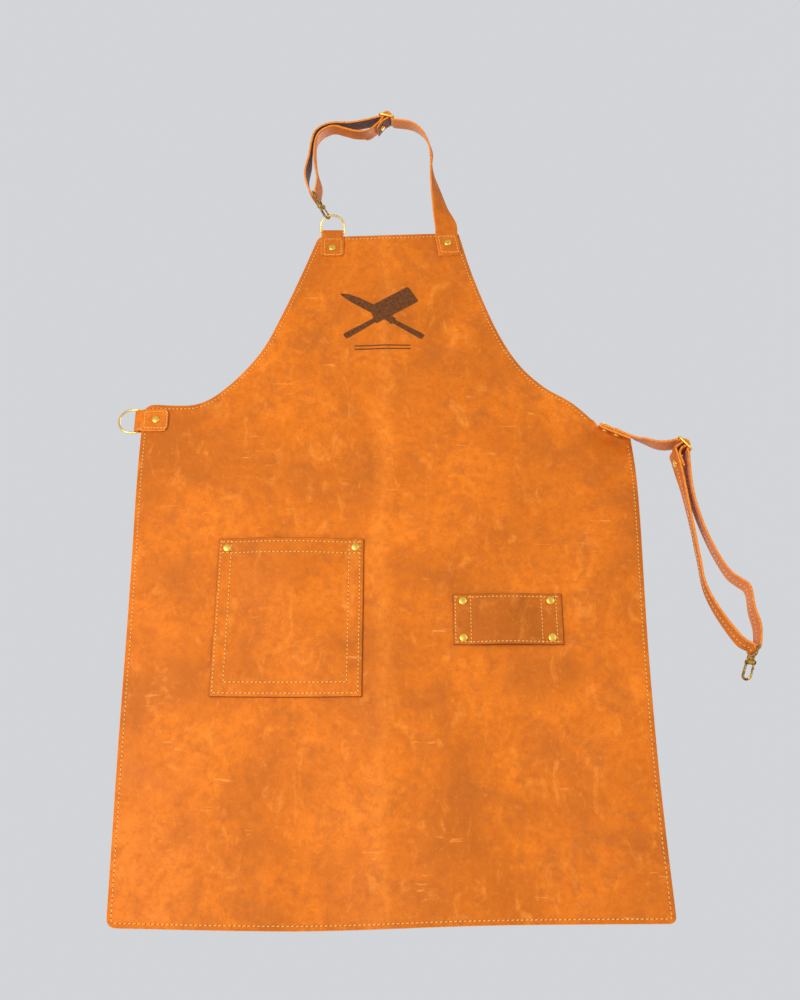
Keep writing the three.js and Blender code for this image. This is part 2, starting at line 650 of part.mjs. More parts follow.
// A point on the strap's leg below the slide: down the leg, then towards its tail.
const neckLeg = (along, across) => {
  const [start] = throughSlide([wrapPath[0]], neckSlide)[0];
  const sine = Math.sin(radians(LEG_ANGLE));
  const cosine = Math.cos(radians(LEG_ANGLE));
  return vec(start)
    .addScaledVector(neckSlide.along, -sine * along - cosine * across)
    .addScaledVector(neckSlide.out, cosine * along - sine * across);
};
const neckTailPoint = (along, across) => [neckLeg(along, across).toArray(),
  neckSlide.width.toArray()];
const neckPath = [
  [[77.4, endMiddleY - 0.1, 877.2], FLAT],
  [[77.3, endMiddleY - 0.2, 884], [1, 0.05, 0]],
  [[69.5, -8.5, 914], [0.71, 0.68, 0.1]],
  [[61.9, -14.2, 953], [0.37, 0.92, 0]],
  [[57.8, -15, 984], [0, 1, 0]],
  fromNearEdge([53, 1008.6], onEdge(25, 15)),
  fromNearEdge([43.5, 1029.9], onEdge(45, 20)),
  fromNearEdge([29.4, 1042.5], onEdge(65, 20)),
  ...throughSlide(passingPath, neckSlide),
  fromNearEdge([-32, 1046.2], upperRun),
  fromNearEdge([-54, 1041.5], upperRun),
  fromNearEdge([-78, 1041], upperRun),
  fromNearEdge([-92, 1036], onEdge(110, 16)),
  fromNearEdge([-102, 1026], onEdge(140, 10)),
  fromNearEdge([-106.5, 1010], onEdge(165, 3)),
  fromNearEdge([-109.5, 985], onEdge(0, 2)),
  fromNearEdge([-114, 957], onEdge(0, 5)),
  fromNearEdge([-111, 937], onEdge(20, 10)),
  ...roundEye(neckEyeBar.toArray(), neckHookUp, neckEyeWidth, 180, 360),
  fromNearEdge([-97.5, 948], onEdge(20, 10)),
  fromNearEdge([-101.5, 972], onEdge(0, 5)),
  fromNearEdge([-102.8, 990], onEdge(0, 3)),
  fromNearEdge([-101.3, 1010], onEdge(165, 3)),
  fromNearEdge([-97.6, 1021.8], onEdge(140, 10)),
  fromNearEdge([-89.7, 1030.5], onEdge(110, 16)),
  fromNearEdge([-77, 1035.5], upperRun),
  fromNearEdge([-62, 1031.5], upperRun),
  fromNearEdge([-46.7, 1026.8], upperRun),
  fromNearEdge([-31, 1027.5], onEdge(80, 20)),
  neckTailPoint(16, 0),
  neckTailPoint(8, 0),
  ...neckWrap,
  neckTailPoint(5, tailOffset + 1.3),
  neckTailPoint(9, tailOffset),
  neckTailPoint(17, tailOffset),
  neckTailPoint(22, tailOffset + 0.5),
];
addNode("neck_slide", slideHardware(neckSlide.centre, neckSlide.along, neckSlide.width,
  neckSlide.out), BRASS);
const neckRivetOut = neckLeg(0, -1).sub(neckLeg(0, 0));
const neckRivetSeat = neckLeg(13, -STRAP_THICK / 2).toArray();
addNode("neck_strap", cut(strap(neckPath),
  [rivetHole(neckRivetSeat, neckRivetOut.toArray(), foldHoleDepth)]), LEATHER);
rivet("neck_fold_rivet", neckRivetSeat, neckRivetOut.toArray(), foldGrip);
addEye("neck", neckHookOrigin.toArray(), neckHookUp, neckEyeWidth);
addHook("neck", neckHookOrigin.toArray(), neckHookUp, vec([0.601, 0.713, 0.356]));

// Waist strap: riveted on the bent corner, then the adjuster, the hook and back
const ON_EDGE = [0, 1, 0];
const strapSeat = GAP + STRAP_THICK / 2;
const waistEndHalf = foldLength / 2 - 1;
addNode("waist_strap_end", cut(strap([
  [foldPoint(-waistEndHalf, strapSeat).toArray(), foldAcross.toArray()],
  [foldPoint(0, strapSeat).toArray(), foldAcross.toArray()],
  [foldPoint(waistEndHalf, strapSeat).toArray(), foldAcross.toArray()],
]), foldRivetSeats.map((at) => rivetHole(at, foldUp.toArray(), STRAP_THICK))), LEATHER);
foldRivetSeats.forEach((at, i) => rivet(`waist_end_rivet_${i + 1}`, at, foldUp.toArray(),
  FOLD_GRIP));

const waistHookUp = vec([0.36, 0, 0.933]).normalize();
const waistEyeBar = vec([416.5, -15, 296.5]);
const waistHookOrigin = waistEyeBar.clone().addScaledVector(waistHookUp, -HOOK_EYE_HEIGHT);
const edgewise = ([x, z]) => [[x, -STRAP_WIDTH / 2, z], ON_EDGE];
const leaning = ([x, z], lean) => [[x, -STRAP_WIDTH / 2, z], onEdge(0, lean)];
const waistStart = waistEndHalf + STRAP_THICK / 2 + GAP;
const STRAIGHT_START = 5;

// Below the slide the strap runs straight for a while, with its own end beside it.
const foldDown = vec([0.175, 0, -0.985]).normalize();
const foldOut = new THREE.Vector3(foldDown.z, 0, -foldDown.x);
const foldSeat = vec([351.3, -STRAP_WIDTH / 2, 528]);
const waistFold = (down, inward) => [foldSeat.clone().addScaledVector(foldDown, down)
  .addScaledVector(foldOut, -inward).toArray(), ON_EDGE];
const waistPath = [
  [foldPoint(waistStart, strapSeat).toArray(), foldAcross.toArray()],
  [foldPoint(waistStart + STRAIGHT_START, strapSeat).toArray(), foldAcross.toArray()],
  fromNearEdge([310.7, 555.3], onEdge(68, 17)),
  fromNearEdge([328.8, 550.9], onEdge(75, 9)),
  fromNearEdge([341.7, 551.7], onEdge(80, 3)),
  ...throughSlide(passingPath, waistSlide).reverse(),
  edgewise([363.4, 521]),
  leaning([365.4, 484], 5),
  leaning([374.4, 442.3], 10),
  leaning([388, 404.2], 10),
  leaning([399.4, 384], 8),
  leaning([409, 376], 6),
  leaning([417.6, 368.5], 5),
  leaning([419.8, 342.1], 3),
  edgewise([423.4, 320]),
  ...roundEye(waistEyeBar.toArray(), waistHookUp, vec(ON_EDGE), 360, 180),
  edgewise([404, 303.5]),
  leaning([393.5, 317.5], 3),
  leaning([377.5, 346], 7),
  leaning([368.5, 371], 10),
  leaning([365.5, 401.7], 10),
  leaning([361, 454], 10),
  leaning([356.2, 497], 5),
  waistFold(10, 0),
  waistFold(0, 0),
  waistFold(-8, 0),
  edgewise([348.6, 543.5]),
  edgewise([352.4, 546.6]),
  ...throughSlide(wrapPath, waistSlide),
  edgewise([356.4, 543.2]),
  waistFold(-8, tailOffset + 0.2),
  waistFold(0, tailOffset),
  waistFold(10, tailOffset + 0.5),
];
addNode("waist_slide", slideHardware(waistSlide.centre, waistSlide.along, waistSlide.width,
  waistSlide.out), BRASS);
const waistRivetOut = foldOut.toArray();
const waistRivetSeat = foldSeat.clone().addScaledVector(foldOut, STRAP_THICK / 2).toArray();
addNode("waist_strap", cut(strap(waistPath),
  [rivetHole(waistRivetSeat, waistRivetOut, foldHoleDepth)]), LEATHER);
rivet("waist_fold_rivet", waistRivetSeat, waistRivetOut, foldGrip);
addEye("waist", waistHookOrigin.toArray(), waistHookUp, vec(ON_EDGE));
addHook("waist", waistHookOrigin.toArray(), waistHookUp, vec([0.66, -0.707, -0.255]));

export default group;
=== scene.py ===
"""The looks of a leather butcher apron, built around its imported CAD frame.

Every size below is in millimetres in the apron's own frame, as in the CAD source: x from the
middle of the bib, y from the panel's back with the front at -y, z up from the hem. row() turns
such a point into metres in the row frame, whose origin is the point the neck strap hangs from.
"""
import bpy
import bmesh
import math
from mathutils import Matrix, Vector, noise
from mathutils.geometry import delaunay_2d_cdt
from mathutils.kdtree import KDTree


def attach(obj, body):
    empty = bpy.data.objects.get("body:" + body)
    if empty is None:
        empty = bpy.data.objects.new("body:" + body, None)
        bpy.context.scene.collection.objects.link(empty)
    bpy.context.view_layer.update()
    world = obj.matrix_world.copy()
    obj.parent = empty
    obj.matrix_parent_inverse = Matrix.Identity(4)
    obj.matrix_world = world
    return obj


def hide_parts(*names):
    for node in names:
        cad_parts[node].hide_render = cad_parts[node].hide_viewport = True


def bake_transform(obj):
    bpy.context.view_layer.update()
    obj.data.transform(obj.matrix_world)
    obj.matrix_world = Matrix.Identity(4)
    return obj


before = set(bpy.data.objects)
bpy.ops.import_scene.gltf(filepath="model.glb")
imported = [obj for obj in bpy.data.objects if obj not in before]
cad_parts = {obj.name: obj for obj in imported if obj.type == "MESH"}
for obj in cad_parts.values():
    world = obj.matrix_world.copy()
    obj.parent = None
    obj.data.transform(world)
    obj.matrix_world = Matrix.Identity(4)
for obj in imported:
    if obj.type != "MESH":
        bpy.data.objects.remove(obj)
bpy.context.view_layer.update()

# ---- driving dimensions, in millimetres ----
HANG_POINT = Vector((14, -15, 1050))
MM = 0.001
GAP = 0.3

PANEL_THICK = 2.8
PATCH_THICK = 2.2
STRAP_THICK = 2.5
STRAP_WIDTH = 30
STITCH_INSET = 5
STITCH_PITCH = 5
STITCH_LENGTH = 3.7
THREAD_RADIUS = 0.42

POCKET = {"low_left": (-200, 244), "width": 172, "height": 190, "bulge": 6}
HOLDER = {"low_left": (77, 304), "width": 126, "height": 61, "bulge": 4}
FLAT_MARGIN = 20
POCKET_RIVETS = [(-190, 422), (-38, 423.5)]
HOLDER_RIVETS = [(88, 356.5), (88, 312.5), (190, 356.5), (190, 312.5)]
BIB_TAB_RIVET = (-75.8, 850)
WAIST_TAB_RIVET = (-289.5, 592.5)
NECK_END_RIVET = (79, 858)

RIVET_CAP_RADIUS = 5
RIVET_CAP_HEIGHT = 1.8
RIVET_BACK_RADIUS = 4.2
RIVET_BACK_HEIGHT = 3
RIVET_POST_RADIUS = 1.5

RING_WIRE = 1.35
RING_HALF_WIDTH = 15.95
RING_DEPTH = 23.8
RING_CORNER = 2
TAB_LENGTH = 42
TAB_WIDTH = 30.6
TAB_FOLD_WIDTH = 28.4
BIB_RING_BAR = (-75.8, 876)
BIB_RING_LEAN = 33
WAIST_RING_BAR = (-312.3, 592)

SLIDE_WIRE = 1.5
SLIDE_CORNER = 2.5
SLIDE_HALF_LENGTH = 10
SLIDE_HALF_WIDTH = 17

HOOK_WIRE = 1.5
HOOK_HALF_WIDTH = 5
HOOK_LENGTH = 28
HOOK_EYE_HEIGHT = 11
HOOK_EYE_HALF_WIDTH = 17.4
EYE_CORNER = 2
GATE_PIVOT = (4.6, -5.8)
TIP_HEIGHT = -17.6

X, Y, Z = Vector((1, 0, 0)), Vector((0, 1, 0)), Vector((0, 0, 1))
FRONT = -Y


def row(point):
    return (Vector(point) - HANG_POINT) * MM


# ================= materials =================

def clamp01(value):
    return max(0.0, min(1.0, value))


def smoothstep(value):
    t = clamp01(value)
    return t * t * (3 - 2 * t)


class Graph:
    """A material's node tree, with short calls for adding and linking nodes."""

    def __init__(self, name):
        self.material = bpy.data.materials.new(name)
        self.material.use_nodes = True
        self.nodes = self.material.node_tree.nodes
        self.links = self.material.node_tree.links
        self.nodes.clear()
        self.shader = self.add("BsdfPrincipled")
        output = self.add("OutputMaterial")
        self.links.new(self.shader.outputs[0], output.inputs["Surface"])
        self.position = self.add("TexCoord").outputs["Object"]

    def add(self, kind, **settings):
        made = self.nodes.new("ShaderNode" + kind)
        for name, value in settings.items():
            setattr(made, name, value)
        return made

    def put(self, socket, value):
        if isinstance(value, bpy.types.NodeSocket):
            self.links.new(value, socket)
        else:
            socket.default_value = value

    def mapped(self, shift=(0, 0, 0), stretch=(1, 1, 1)):
        node = self.add("Mapping")
        self.put(node.inputs["Vector"], self.position)
        node.inputs["Location"].default_value = shift
        node.inputs["Scale"].default_value = stretch
        return node.outputs[0]

    def noise(self, vector, scale, detail=4, roughness=0.55, distortion=0.0):
        node = self.add("TexNoise")
        self.put(node.inputs["Vector"], vector)
        node.inputs["Scale"].default_value = scale
        node.inputs["Detail"].default_value = detail
        node.inputs["Roughness"].default_value = roughness
        node.inputs["Distortion"].default_value = distortion
        return node.outputs[0]

    def cells(self, vector, scale, feature="F1"):
        node = self.add("TexVoronoi", feature=feature)
        self.put(node.inputs["Vector"], vector)
        node.inputs["Scale"].default_value = scale
        return node.outputs["Distance"]

    def ramp(self, factor, stops):
        """stops are (position, value or colour)."""
        node = self.add("ValToRGB")
        elements = node.color_ramp.elements
        while len(elements) < len(stops):
            elements.new(0.5)
        for element, (position, value) in zip(elements, stops):
            element.position = position
            element.color = (*value, 1) if isinstance(value, tuple) else (value, value, value, 1)
        self.put(node.inputs[0], factor)
        return node.outputs[0]

    def mix(self, factor, low, high, blend="MIX"):
        node = self.add("Mix", data_type="RGBA", blend_type=blend)
        self.put(node.inputs[0], factor)
        for socket, value in ((node.inputs[6], low), (node.inputs[7], high)):
            self.put(socket, (*value, 1) if isinstance(value, tuple) else value)
        return node.outputs[2]

    def drift(self, vector, scale):
        """Noise in three channels, to bend a vector with."""
        node = self.add("TexNoise")
        self.put(node.inputs["Vector"], vector)
        node.inputs["Scale"].default_value = scale
        return node.outputs[1]

    def math(self, operation, first, second):
        node = self.add("Math", operation=operation)
        self.put(node.inputs[0], first)
        self.put(node.inputs[1], second)
        return node.outputs[0]

    def bump(self, height, strength, distance, under=None):
        node = self.add("Bump")
        node.inputs["Strength"].default_value = strength
        node.inputs["Distance"].default_value = distance
        self.put(node.inputs["Height"], height)
        if under is not None:
            self.put(node.inputs["Normal"], under)
        return node.outputs[0]

    def finish(self, color, roughness, normal=None, **constants):
        self.put(self.shader.inputs["Base Color"], color)
        self.put(self.shader.inputs["Roughness"], roughness)
        if normal is not None:
            self.put(self.shader.inputs["Normal"], normal)
        for name, value in constants.items():
            self.shader.inputs[name.replace("_", " ")].default_value = value
        return self.material


def leather_grain(name, shift, tone=1.0, ridge_highlight_at=None):
    """Oiled pull-up leather: cloudy tan, pale stretch marks, fine scratches and pores.

    The last argument is the x, in metres, of a pale upright band: a painted highlight along the ridge of
    the soft centre fold.
    """
    graph = Graph(name)
    place = graph.mapped(shift)
    tint = lambda r, g, b: (r * tone, g * tone, b * tone)
    clouds = graph.noise(place, 9, 5, 0.6, 0.5)
    color = graph.ramp(clouds, [(0.32, tint(0.46, 0.112, 0.006)), (0.45, tint(0.57, 0.138, 0.006)),
                                (0.56, tint(0.66, 0.160, 0.006)), (0.69, tint(0.74, 0.190, 0.010))])
    patches = graph.noise(place, 30, 6, 0.65, 0.8)
    dark = graph.ramp(patches, [(0.50, 0.0), (0.66, 1.0)])
    color = graph.mix(graph.math("MULTIPLY", dark, 0.55), color, tint(0.40, 0.104, 0.014))
    # A pale band along the centre ridge: painted highlight.
    if ridge_highlight_at is not None:
        across = graph.add("SeparateXYZ")
        graph.put(across.inputs[0], graph.mix(0.03, place, graph.drift(place, 9)))
        away = graph.math("ABSOLUTE", graph.math("SUBTRACT", across.outputs[0], ridge_highlight_at), 0.0)
        band = graph.ramp(away, [(0.0, 0.34), (0.016, 0.0)])
        color = graph.mix(band, color, tint(0.82, 0.235, 0.022))
    streaks = graph.noise(graph.mapped(shift, (1.5, 1, 0.8)), 26, 4, 0.6, 1.2)
    pale = graph.ramp(streaks, [(0.57, 0.0), (0.70, 1.0)])
    color = graph.mix(graph.math("MULTIPLY", pale, 0.45), color, tint(0.84, 0.265, 0.030))
    scuffs = graph.noise(graph.mapped(shift, (0.5, 1, 4)), 60, 2, 0.5, 0.3)
    lines = graph.ramp(scuffs, [(0.66, 0.0), (0.71, 1.0)])
    where = graph.ramp(graph.noise(place, 21, 2), [(0.54, 0.0), (0.62, 1.0)])
    scratch = graph.math("MULTIPLY", lines, where)
    color = graph.mix(graph.math("MULTIPLY", scratch, 0.5), color, tint(0.88, 0.34, 0.07))
    mottle = graph.noise(place, 110, 6, 0.75)
    color = graph.mix(graph.ramp(mottle, [(0.38, 0.42), (0.56, 0.0)]), color, tint(0.43, 0.088, 0.004))
    flecks = graph.noise(place, 170, 5, 0.8)
    color = graph.mix(graph.ramp(flecks, [(0.55, 0.0), (0.70, 0.34)]), color, tint(0.88, 0.27, 0.030))
    pores = graph.noise(place, 520, 3, 0.6)
    color = graph.mix(graph.ramp(pores, [(0.54, 0.0), (0.72, 0.30)]), color, tint(0.33, 0.075, 0.008))
    pebble = graph.cells(place, 620)
    soft = graph.bump(graph.noise(place, 60, 3), 0.10, 0.003)
    fine = graph.bump(pebble, 0.10, 0.0006, soft)
    normal = graph.bump(pores, 0.14, 0.0005, fine)
    rough = graph.ramp(patches, [(0.35, 0.52), (0.7, 0.68)])
    return graph.finish(color, rough, normal, Specular_IOR_Level=0.16)


def leather_flesh(name, dark, light):
    """The napped back of the hide."""
    graph = Graph(name)
    place = graph.mapped((0.3, 0.1, 0.7))
    clouds = graph.noise(place, 14, 5, 0.6, 0.4)
    color = graph.ramp(clouds, [(0.32, dark), (0.68, light)])
    nap = graph.noise(place, 900, 3, 0.7)
    color = graph.mix(graph.ramp(nap, [(0.45, 0.0), (0.75, 0.45)]), color, light)
    normal = graph.bump(nap, 0.35, 0.0008, graph.bump(graph.noise(place, 90, 4), 0.15, 0.002))
    return graph.finish(color, 0.92, normal, Sheen_Weight=0.25, Specular_IOR_Level=0.15)


def cut_edge(name, dark, light):
    """The cut edge of the hide: fibres in thin layers."""
    graph = Graph(name)
    fibres = graph.noise(graph.mapped(), 420, 4, 0.65)
    color = graph.ramp(fibres, [(0.35, dark), (0.65, light)])
    return graph.finish(color, 0.8, graph.bump(fibres, 0.3, 0.0006), Specular_IOR_Level=0.2)


def waxed_thread():
    graph = Graph("waxed_thread")
    fibres = graph.noise(graph.mapped(), 1500, 3, 0.6)
    color = graph.ramp(fibres, [(0.35, (0.70, 0.33, 0.050)), (0.62, (0.95, 0.55, 0.13))])
    return graph.finish(color, 0.62, graph.bump(fibres, 0.5, 0.0003), Sheen_Weight=0.15)


def needle_hole_shade():
    graph = Graph("needle_hole_shade")
    # Dark browns standing for the shade inside the needle holes: painted shade, varied by noise.
    hole_shade_tone = graph.noise(graph.mapped(), 700, 2)
    return graph.finish(graph.ramp(hole_shade_tone, [(0.3, (0.13, 0.028, 0.005)), (0.7, (0.25, 0.062, 0.010))]),
                        0.95)


def metal(name, bright, tarnish, rough_low, rough_high, spread):
    """Brass plating: tarnish gathers in soft patches, with hairline polishing marks."""
    graph = Graph(name)
    place = graph.mapped()
    patches = graph.noise(place, 160, 4, 0.6)
    color = graph.mix(graph.ramp(patches, [(0.5 - spread, 0.0), (0.5 + spread, 1.0)]), bright, tarnish)
    hairs = graph.noise(graph.mapped((0, 0, 0), (1, 1, 7)), 700, 2)
    rough = graph.ramp(graph.noise(place, 300, 3), [(0.3, rough_low), (0.7, rough_high)])
    return graph.finish(color, rough, graph.bump(hairs, 0.02, 0.0001), Metallic=1.0)


def scorched():
    graph = Graph("scorched_leather")
    depth = graph.noise(graph.mapped(), 260, 4, 0.6)
    color = graph.ramp(depth, [(0.3, (0.075, 0.026, 0.010)), (0.7, (0.17, 0.060, 0.018))])
    return graph.finish(color, 0.85, graph.bump(depth, 0.4, 0.0006), Specular_IOR_Level=0.1)


# The pale band at x = -3 mm is a painted highlight on the centre ridge.
GRAIN = leather_grain("leather_grain", (0.0, 0.0, 0.0), ridge_highlight_at=-0.003)
POCKET_GRAIN = leather_grain("leather_pocket", (0.37, 0.11, 0.23), 0.98)
HOLDER_GRAIN = leather_grain("leather_holder", (0.81, 0.42, 0.55), 0.84)
STRAP_GRAIN = leather_grain("leather_strap", (0.13, 0.71, 0.37), 0.98)
FLESH = leather_flesh("leather_flesh", (0.27, 0.080, 0.016), (0.44, 0.145, 0.034))
# Dark flesh: painted shade on strap, tab and patch backs that lie against other leather or between
# doubled strands.
STRAP_FLESH_PAINTED_SHADE = leather_flesh("strap_flesh_painted_shade", (0.095, 0.018, 0.004), (0.20, 0.042, 0.008))
STRAP_NAP = leather_flesh("leather_strap_nap", (0.50, 0.118, 0.006), (0.72, 0.200, 0.016))
EDGE = cut_edge("leather_edge", (0.60, 0.160, 0.014), (0.86, 0.285, 0.040))
# A dark copy of the cut edge colour for the pocket and tool loop: painted shade on their edges.
PATCH_EDGE_PAINTED_SHADE = cut_edge("patch_edge_painted_shade", (0.15, 0.026, 0.008), (0.32, 0.070, 0.016))
THREAD = waxed_thread()
HOLE_SHADE = needle_hole_shade()
BRASS = metal("polished_brass", (0.98, 0.60, 0.115), (0.80, 0.44, 0.07), 0.28, 0.42, 0.2)
RING_BRASS = metal("pale_brass", (0.98, 0.70, 0.22), (0.80, 0.50, 0.12), 0.20, 0.32, 0.2)
ANTIQUE = metal("antique_brass", (0.62, 0.38, 0.09), (0.14, 0.07, 0.02), 0.26, 0.44, 0.12)
SCORCH = scorched()


# ================= mesh building =================

def linked(name, data):
    made = bpy.data.objects.new(name, data)
    bpy.context.scene.collection.objects.link(made)
    return made


def turn_faces_out(mesh):
    shell = bmesh.new()
    shell.from_mesh(mesh)
    bmesh.ops.recalc_face_normals(shell, faces=shell.faces)
    shell.to_mesh(mesh)
    shell.free()


class Build:
    """Closed shells for one object, gathered in apron millimetres."""

    def __init__(self):
        self.points = []
        self.faces = []
        self.slots = []

    def add(self, shell, slot=0):
        """shell is (points, faces) or (points, faces, a slot for each face)."""
        start = len(self.points)
        self.points += shell[0]
        self.faces += [[start + i for i in face] for face in shell[1]]
        self.slots += shell[2] if len(shell) > 2 else [slot] * len(shell[1])
        return self

    def make(self, name, materials, sharp=38):
        mesh = bpy.data.meshes.new(name)
        mesh.from_pydata([row(p) for p in self.points], [], self.faces)
        for material in materials:
            mesh.materials.append(material)
        mesh.polygons.foreach_set("material_index", self.slots)
        turn_faces_out(mesh)
        mesh.shade_smooth()
        mesh.set_sharp_from_angle(angle=math.radians(sharp))
        return linked(name, mesh)


def placed(shell, origin, x_axis, y_axis, z_axis):
    """Moves a shell from its local frame to the apron's."""
    turn = Matrix((x_axis, y_axis, z_axis)).transposed()
    start = Vector(origin)
    return ([start + turn @ Vector(p) for p in shell[0]], *shell[1:])


def skin(rings, closed=False, slots=None):
    """Skins rings of points; slots gives the material slot of each strip round a ring."""
    count = len(rings[0])
    faces = []
    marks = []
    for i in range(len(rings) if closed else len(rings) - 1):
        following = (i + 1) % len(rings)
        for j in range(count):
            side = (j + 1) % count
            faces.append([i * count + j, i * count + side, following * count + side,
                          following * count + j])
            marks.append(slots[j] if slots else 0)
    if not closed:
        faces.append(list(range(count))[::-1])
        faces.append([(len(rings) - 1) * count + j for j in range(count)])
        marks += [max(slots) if slots else 0] * 2
    return [p for ring in rings for p in ring], faces, marks


def lathe(profile, sides=32):
    """Turns a profile of (radius, height) round local z; a radius of 0 closes to a point."""
    points = []
    rings = []
    for radius, height in profile:
        if radius == 0:
            rings.append([len(points)] * sides)
            points.append(Vector((0, 0, height)))
        else:
            rings.append(list(range(len(points), len(points) + sides)))
            points += [Vector((radius * math.cos(a), radius * math.sin(a), height))
                       for a in (math.tau * j / sides for j in range(sides))]
    loops = list(zip(rings, rings[1:]))
    if profile[0][0] != 0:
        loops.append((rings[-1], rings[0]))
    faces = []
    for low, high in loops:
        for j in range(sides):
            k = (j + 1) % sides
            corners = [low[j], low[k], high[k], high[j]]
            faces.append(list(dict.fromkeys(corners)))
    return points, faces


def arc(x, z, radius, start, end, steps):
    """Points on an arc in a plane, angles in degrees."""
    angles = [math.radians(start + (end - start) * i / steps) for i in range(steps + 1)]
    return [(x + radius * math.cos(a), z + radius * math.sin(a)) for a in angles]


def wire(path, radius, closed, sides=16, end_radius=None):
    """Round wire along (x, z) points in the local x-z plane; end_radius tapers its last end."""
    rings = []
    last = len(path) - 1
    for i, (x, z) in enumerate(path):
        before = path[i - 1] if i > 0 or closed else path[0]
        after = path[(i + 1) % len(path)] if i < last or closed else path[last]
        along = Vector((after[0] - before[0], after[1] - before[1])).normalized()
        share = i / last if end_radius else 0
        thick = radius + ((end_radius or radius) - radius) * smoothstep((share - 0.6) / 0.4)
        rings.append([Vector((x + along.y * thick * math.cos(a), thick * math.sin(a),
                              z - along.x * thick * math.cos(a)))
                      for a in (math.tau * j / sides for j in range(sides))])
    return skin(rings, closed)[:2]


def wire_frame(half_x, half_z, corner, radius):
    x = half_x - corner
    z = half_z - corner
    path = arc(x, z, corner, 0, 90, 6) + arc(-x, z, corner, 90, 180, 6)
    path += arc(-x, -z, corner, 180, 270, 6) + arc(x, -z, corner, 270, 360, 6)
    return wire(path, radius, True)


def block(size, centre, bevel):
    """A box with rounded edges."""
    solid = bmesh.new()
    bmesh.ops.create_cube(solid, size=1)
    for vertex in solid.verts:
        vertex.co = Vector([c * s + m for c, s, m in zip(vertex.co, size, centre)])
    if bevel:
        bmesh.ops.bevel(solid, geom=solid.edges[:], offset=bevel, segments=3, profile=0.5,
                        affect="EDGES")
    solid.verts.index_update()
    shell = ([v.co.copy() for v in solid.verts], [[v.index for v in f.verts] for f in solid.faces])
    solid.free()
    return shell


def round_bar(radius, low, high, round_off=0.4, sides=24):
    """A round bar on local z with softened ends."""
    return lathe([(0, low), (radius - round_off, low), (radius, low + round_off),
                  (radius, high - round_off), (radius - round_off, high), (0, high)], sides)


def booled(shells, cutters=()):
    """One shell from overlapping ones, with the cutters taken away."""
    parts = []
    for shell in [*shells, *cutters]:
        mesh = bpy.data.meshes.new("operand")
        mesh.from_pydata(shell[0], [], shell[1])
        turn_faces_out(mesh)
        parts.append(linked("operand", mesh))
    whole = parts[0]
    for part in parts[1:]:
        step = whole.modifiers.new("join", "BOOLEAN")
        step.operation = "UNION" if parts.index(part) < len(shells) else "DIFFERENCE"
        step.solver = "EXACT"
        step.object = part
    seen = whole.evaluated_get(bpy.context.evaluated_depsgraph_get())
    mesh = seen.to_mesh()
    shell = ([v.co.copy() for v in mesh.vertices], [list(f.vertices) for f in mesh.polygons])
    seen.to_mesh_clear()
    for part in parts:
        bpy.data.objects.remove(part)
    return shell


def dressed(made, body, slot, *nodes):
    """Rides a finished piece on its body, in place of the CAD nodes it stands for."""
    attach(made, body)
    if nodes:
        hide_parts(*nodes)
    return made


# ================= curves =================

def uniform_spline(points, step):
    """A Catmull-Rom curve through plane points, sampled about every step."""
    samples = []
    last = len(points) - 1
    for i in range(last):
        p0, p1 = Vector(points[max(i - 1, 0)]), Vector(points[i])
        p2, p3 = Vector(points[i + 1]), Vector(points[min(i + 2, last)])
        count = max(1, round((p2 - p1).length / step))
        for j in range(count):
            t = j / count
            v0, v1 = (p2 - p0) * 0.5, (p3 - p1) * 0.5
            samples.append((2 * p1 - 2 * p2 + v0 + v1) * t ** 3
                           + (3 * p2 - 3 * p1 - 2 * v0 - v1) * t ** 2 + v0 * t + p1)
    return samples


def quadratic(start, middle, end, count):
    a, b, c = Vector(start), Vector(middle), Vector(end)
    times = [i / count for i in range(count)]
    return [a * (1 - t) ** 2 + b * 2 * t * (1 - t) + c * t * t for t in times]


def line(start, end, step):
    a, b = Vector(start), Vector(end)
    count = max(1, round((b - a).length / step))
    return [a.lerp(b, i / count) for i in range(count)]


def centripetal(points, i, u):
    """The point at u between points i and i + 1 of a centripetal Catmull-Rom curve."""
    p1, p2 = points[i], points[i + 1]
    p0 = points[i - 1] if i > 0 else 2 * p1 - p2
    p3 = points[i + 2] if i + 2 < len(points) else 2 * p2 - p1
    d0, d1, d2 = ((b - a).length ** 0.5 for a, b in ((p0, p1), (p1, p2), (p2, p3)))
    v1 = ((p1 - p0) / d0 - (p2 - p0) / (d0 + d1) + (p2 - p1) / d1) * d1
    v2 = ((p2 - p1) / d1 - (p3 - p1) / (d1 + d2) + (p3 - p2) / d2) * d1
    return p1 + v1 * u + (3 * (p2 - p1) - 2 * v1 - v2) * u ** 2 + (2 * (p1 - p2) + v1 + v2) * u ** 3


# ================= stitching =================

THREAD_RINGS = [(-1.0, -0.28, 0.5), (-0.6, 0.14, 0.92), (0.0, 0.24, 1.0), (0.6, 0.14, 0.92),
                (1.0, -0.28, 0.5)]
STITCH_SLANT = 9


def stitch(threads, holes, point, along, normal):
    """One stitch lying on the leather, with a dark plug before it: painted shade inside its needle hole.
    """
    along = along.normalized()
    across = normal.cross(along).normalized()
    turn = math.radians(STITCH_SLANT)
    lie = along * math.cos(turn) + across * math.sin(turn)
    side = normal.cross(lie)
    rings = []
    for share, height, thick in THREAD_RINGS:
        middle = point + lie * (share * STITCH_LENGTH / 2) + normal * height
        rings.append([middle + side * (THREAD_RADIUS * thick * math.cos(a))
                      + normal * (THREAD_RADIUS * thick * math.sin(a))
                      for a in (math.tau * j / 6 for j in range(6))])
    threads.add(skin(rings)[:2])
    # The dark plug paints the shade inside the needle hole.
    hole = point - along * (STITCH_PITCH / 2)
    rims = []
    for depth, radius in ((-0.4, 0.62), (0.07, 0.68)):
        rims.append([hole + normal * depth + along * (radius * math.cos(a))
                     + across * (radius * math.sin(a))
                     for a in (math.tau * j / 6 for j in range(6))])
    holes.add(skin(rims)[:2])


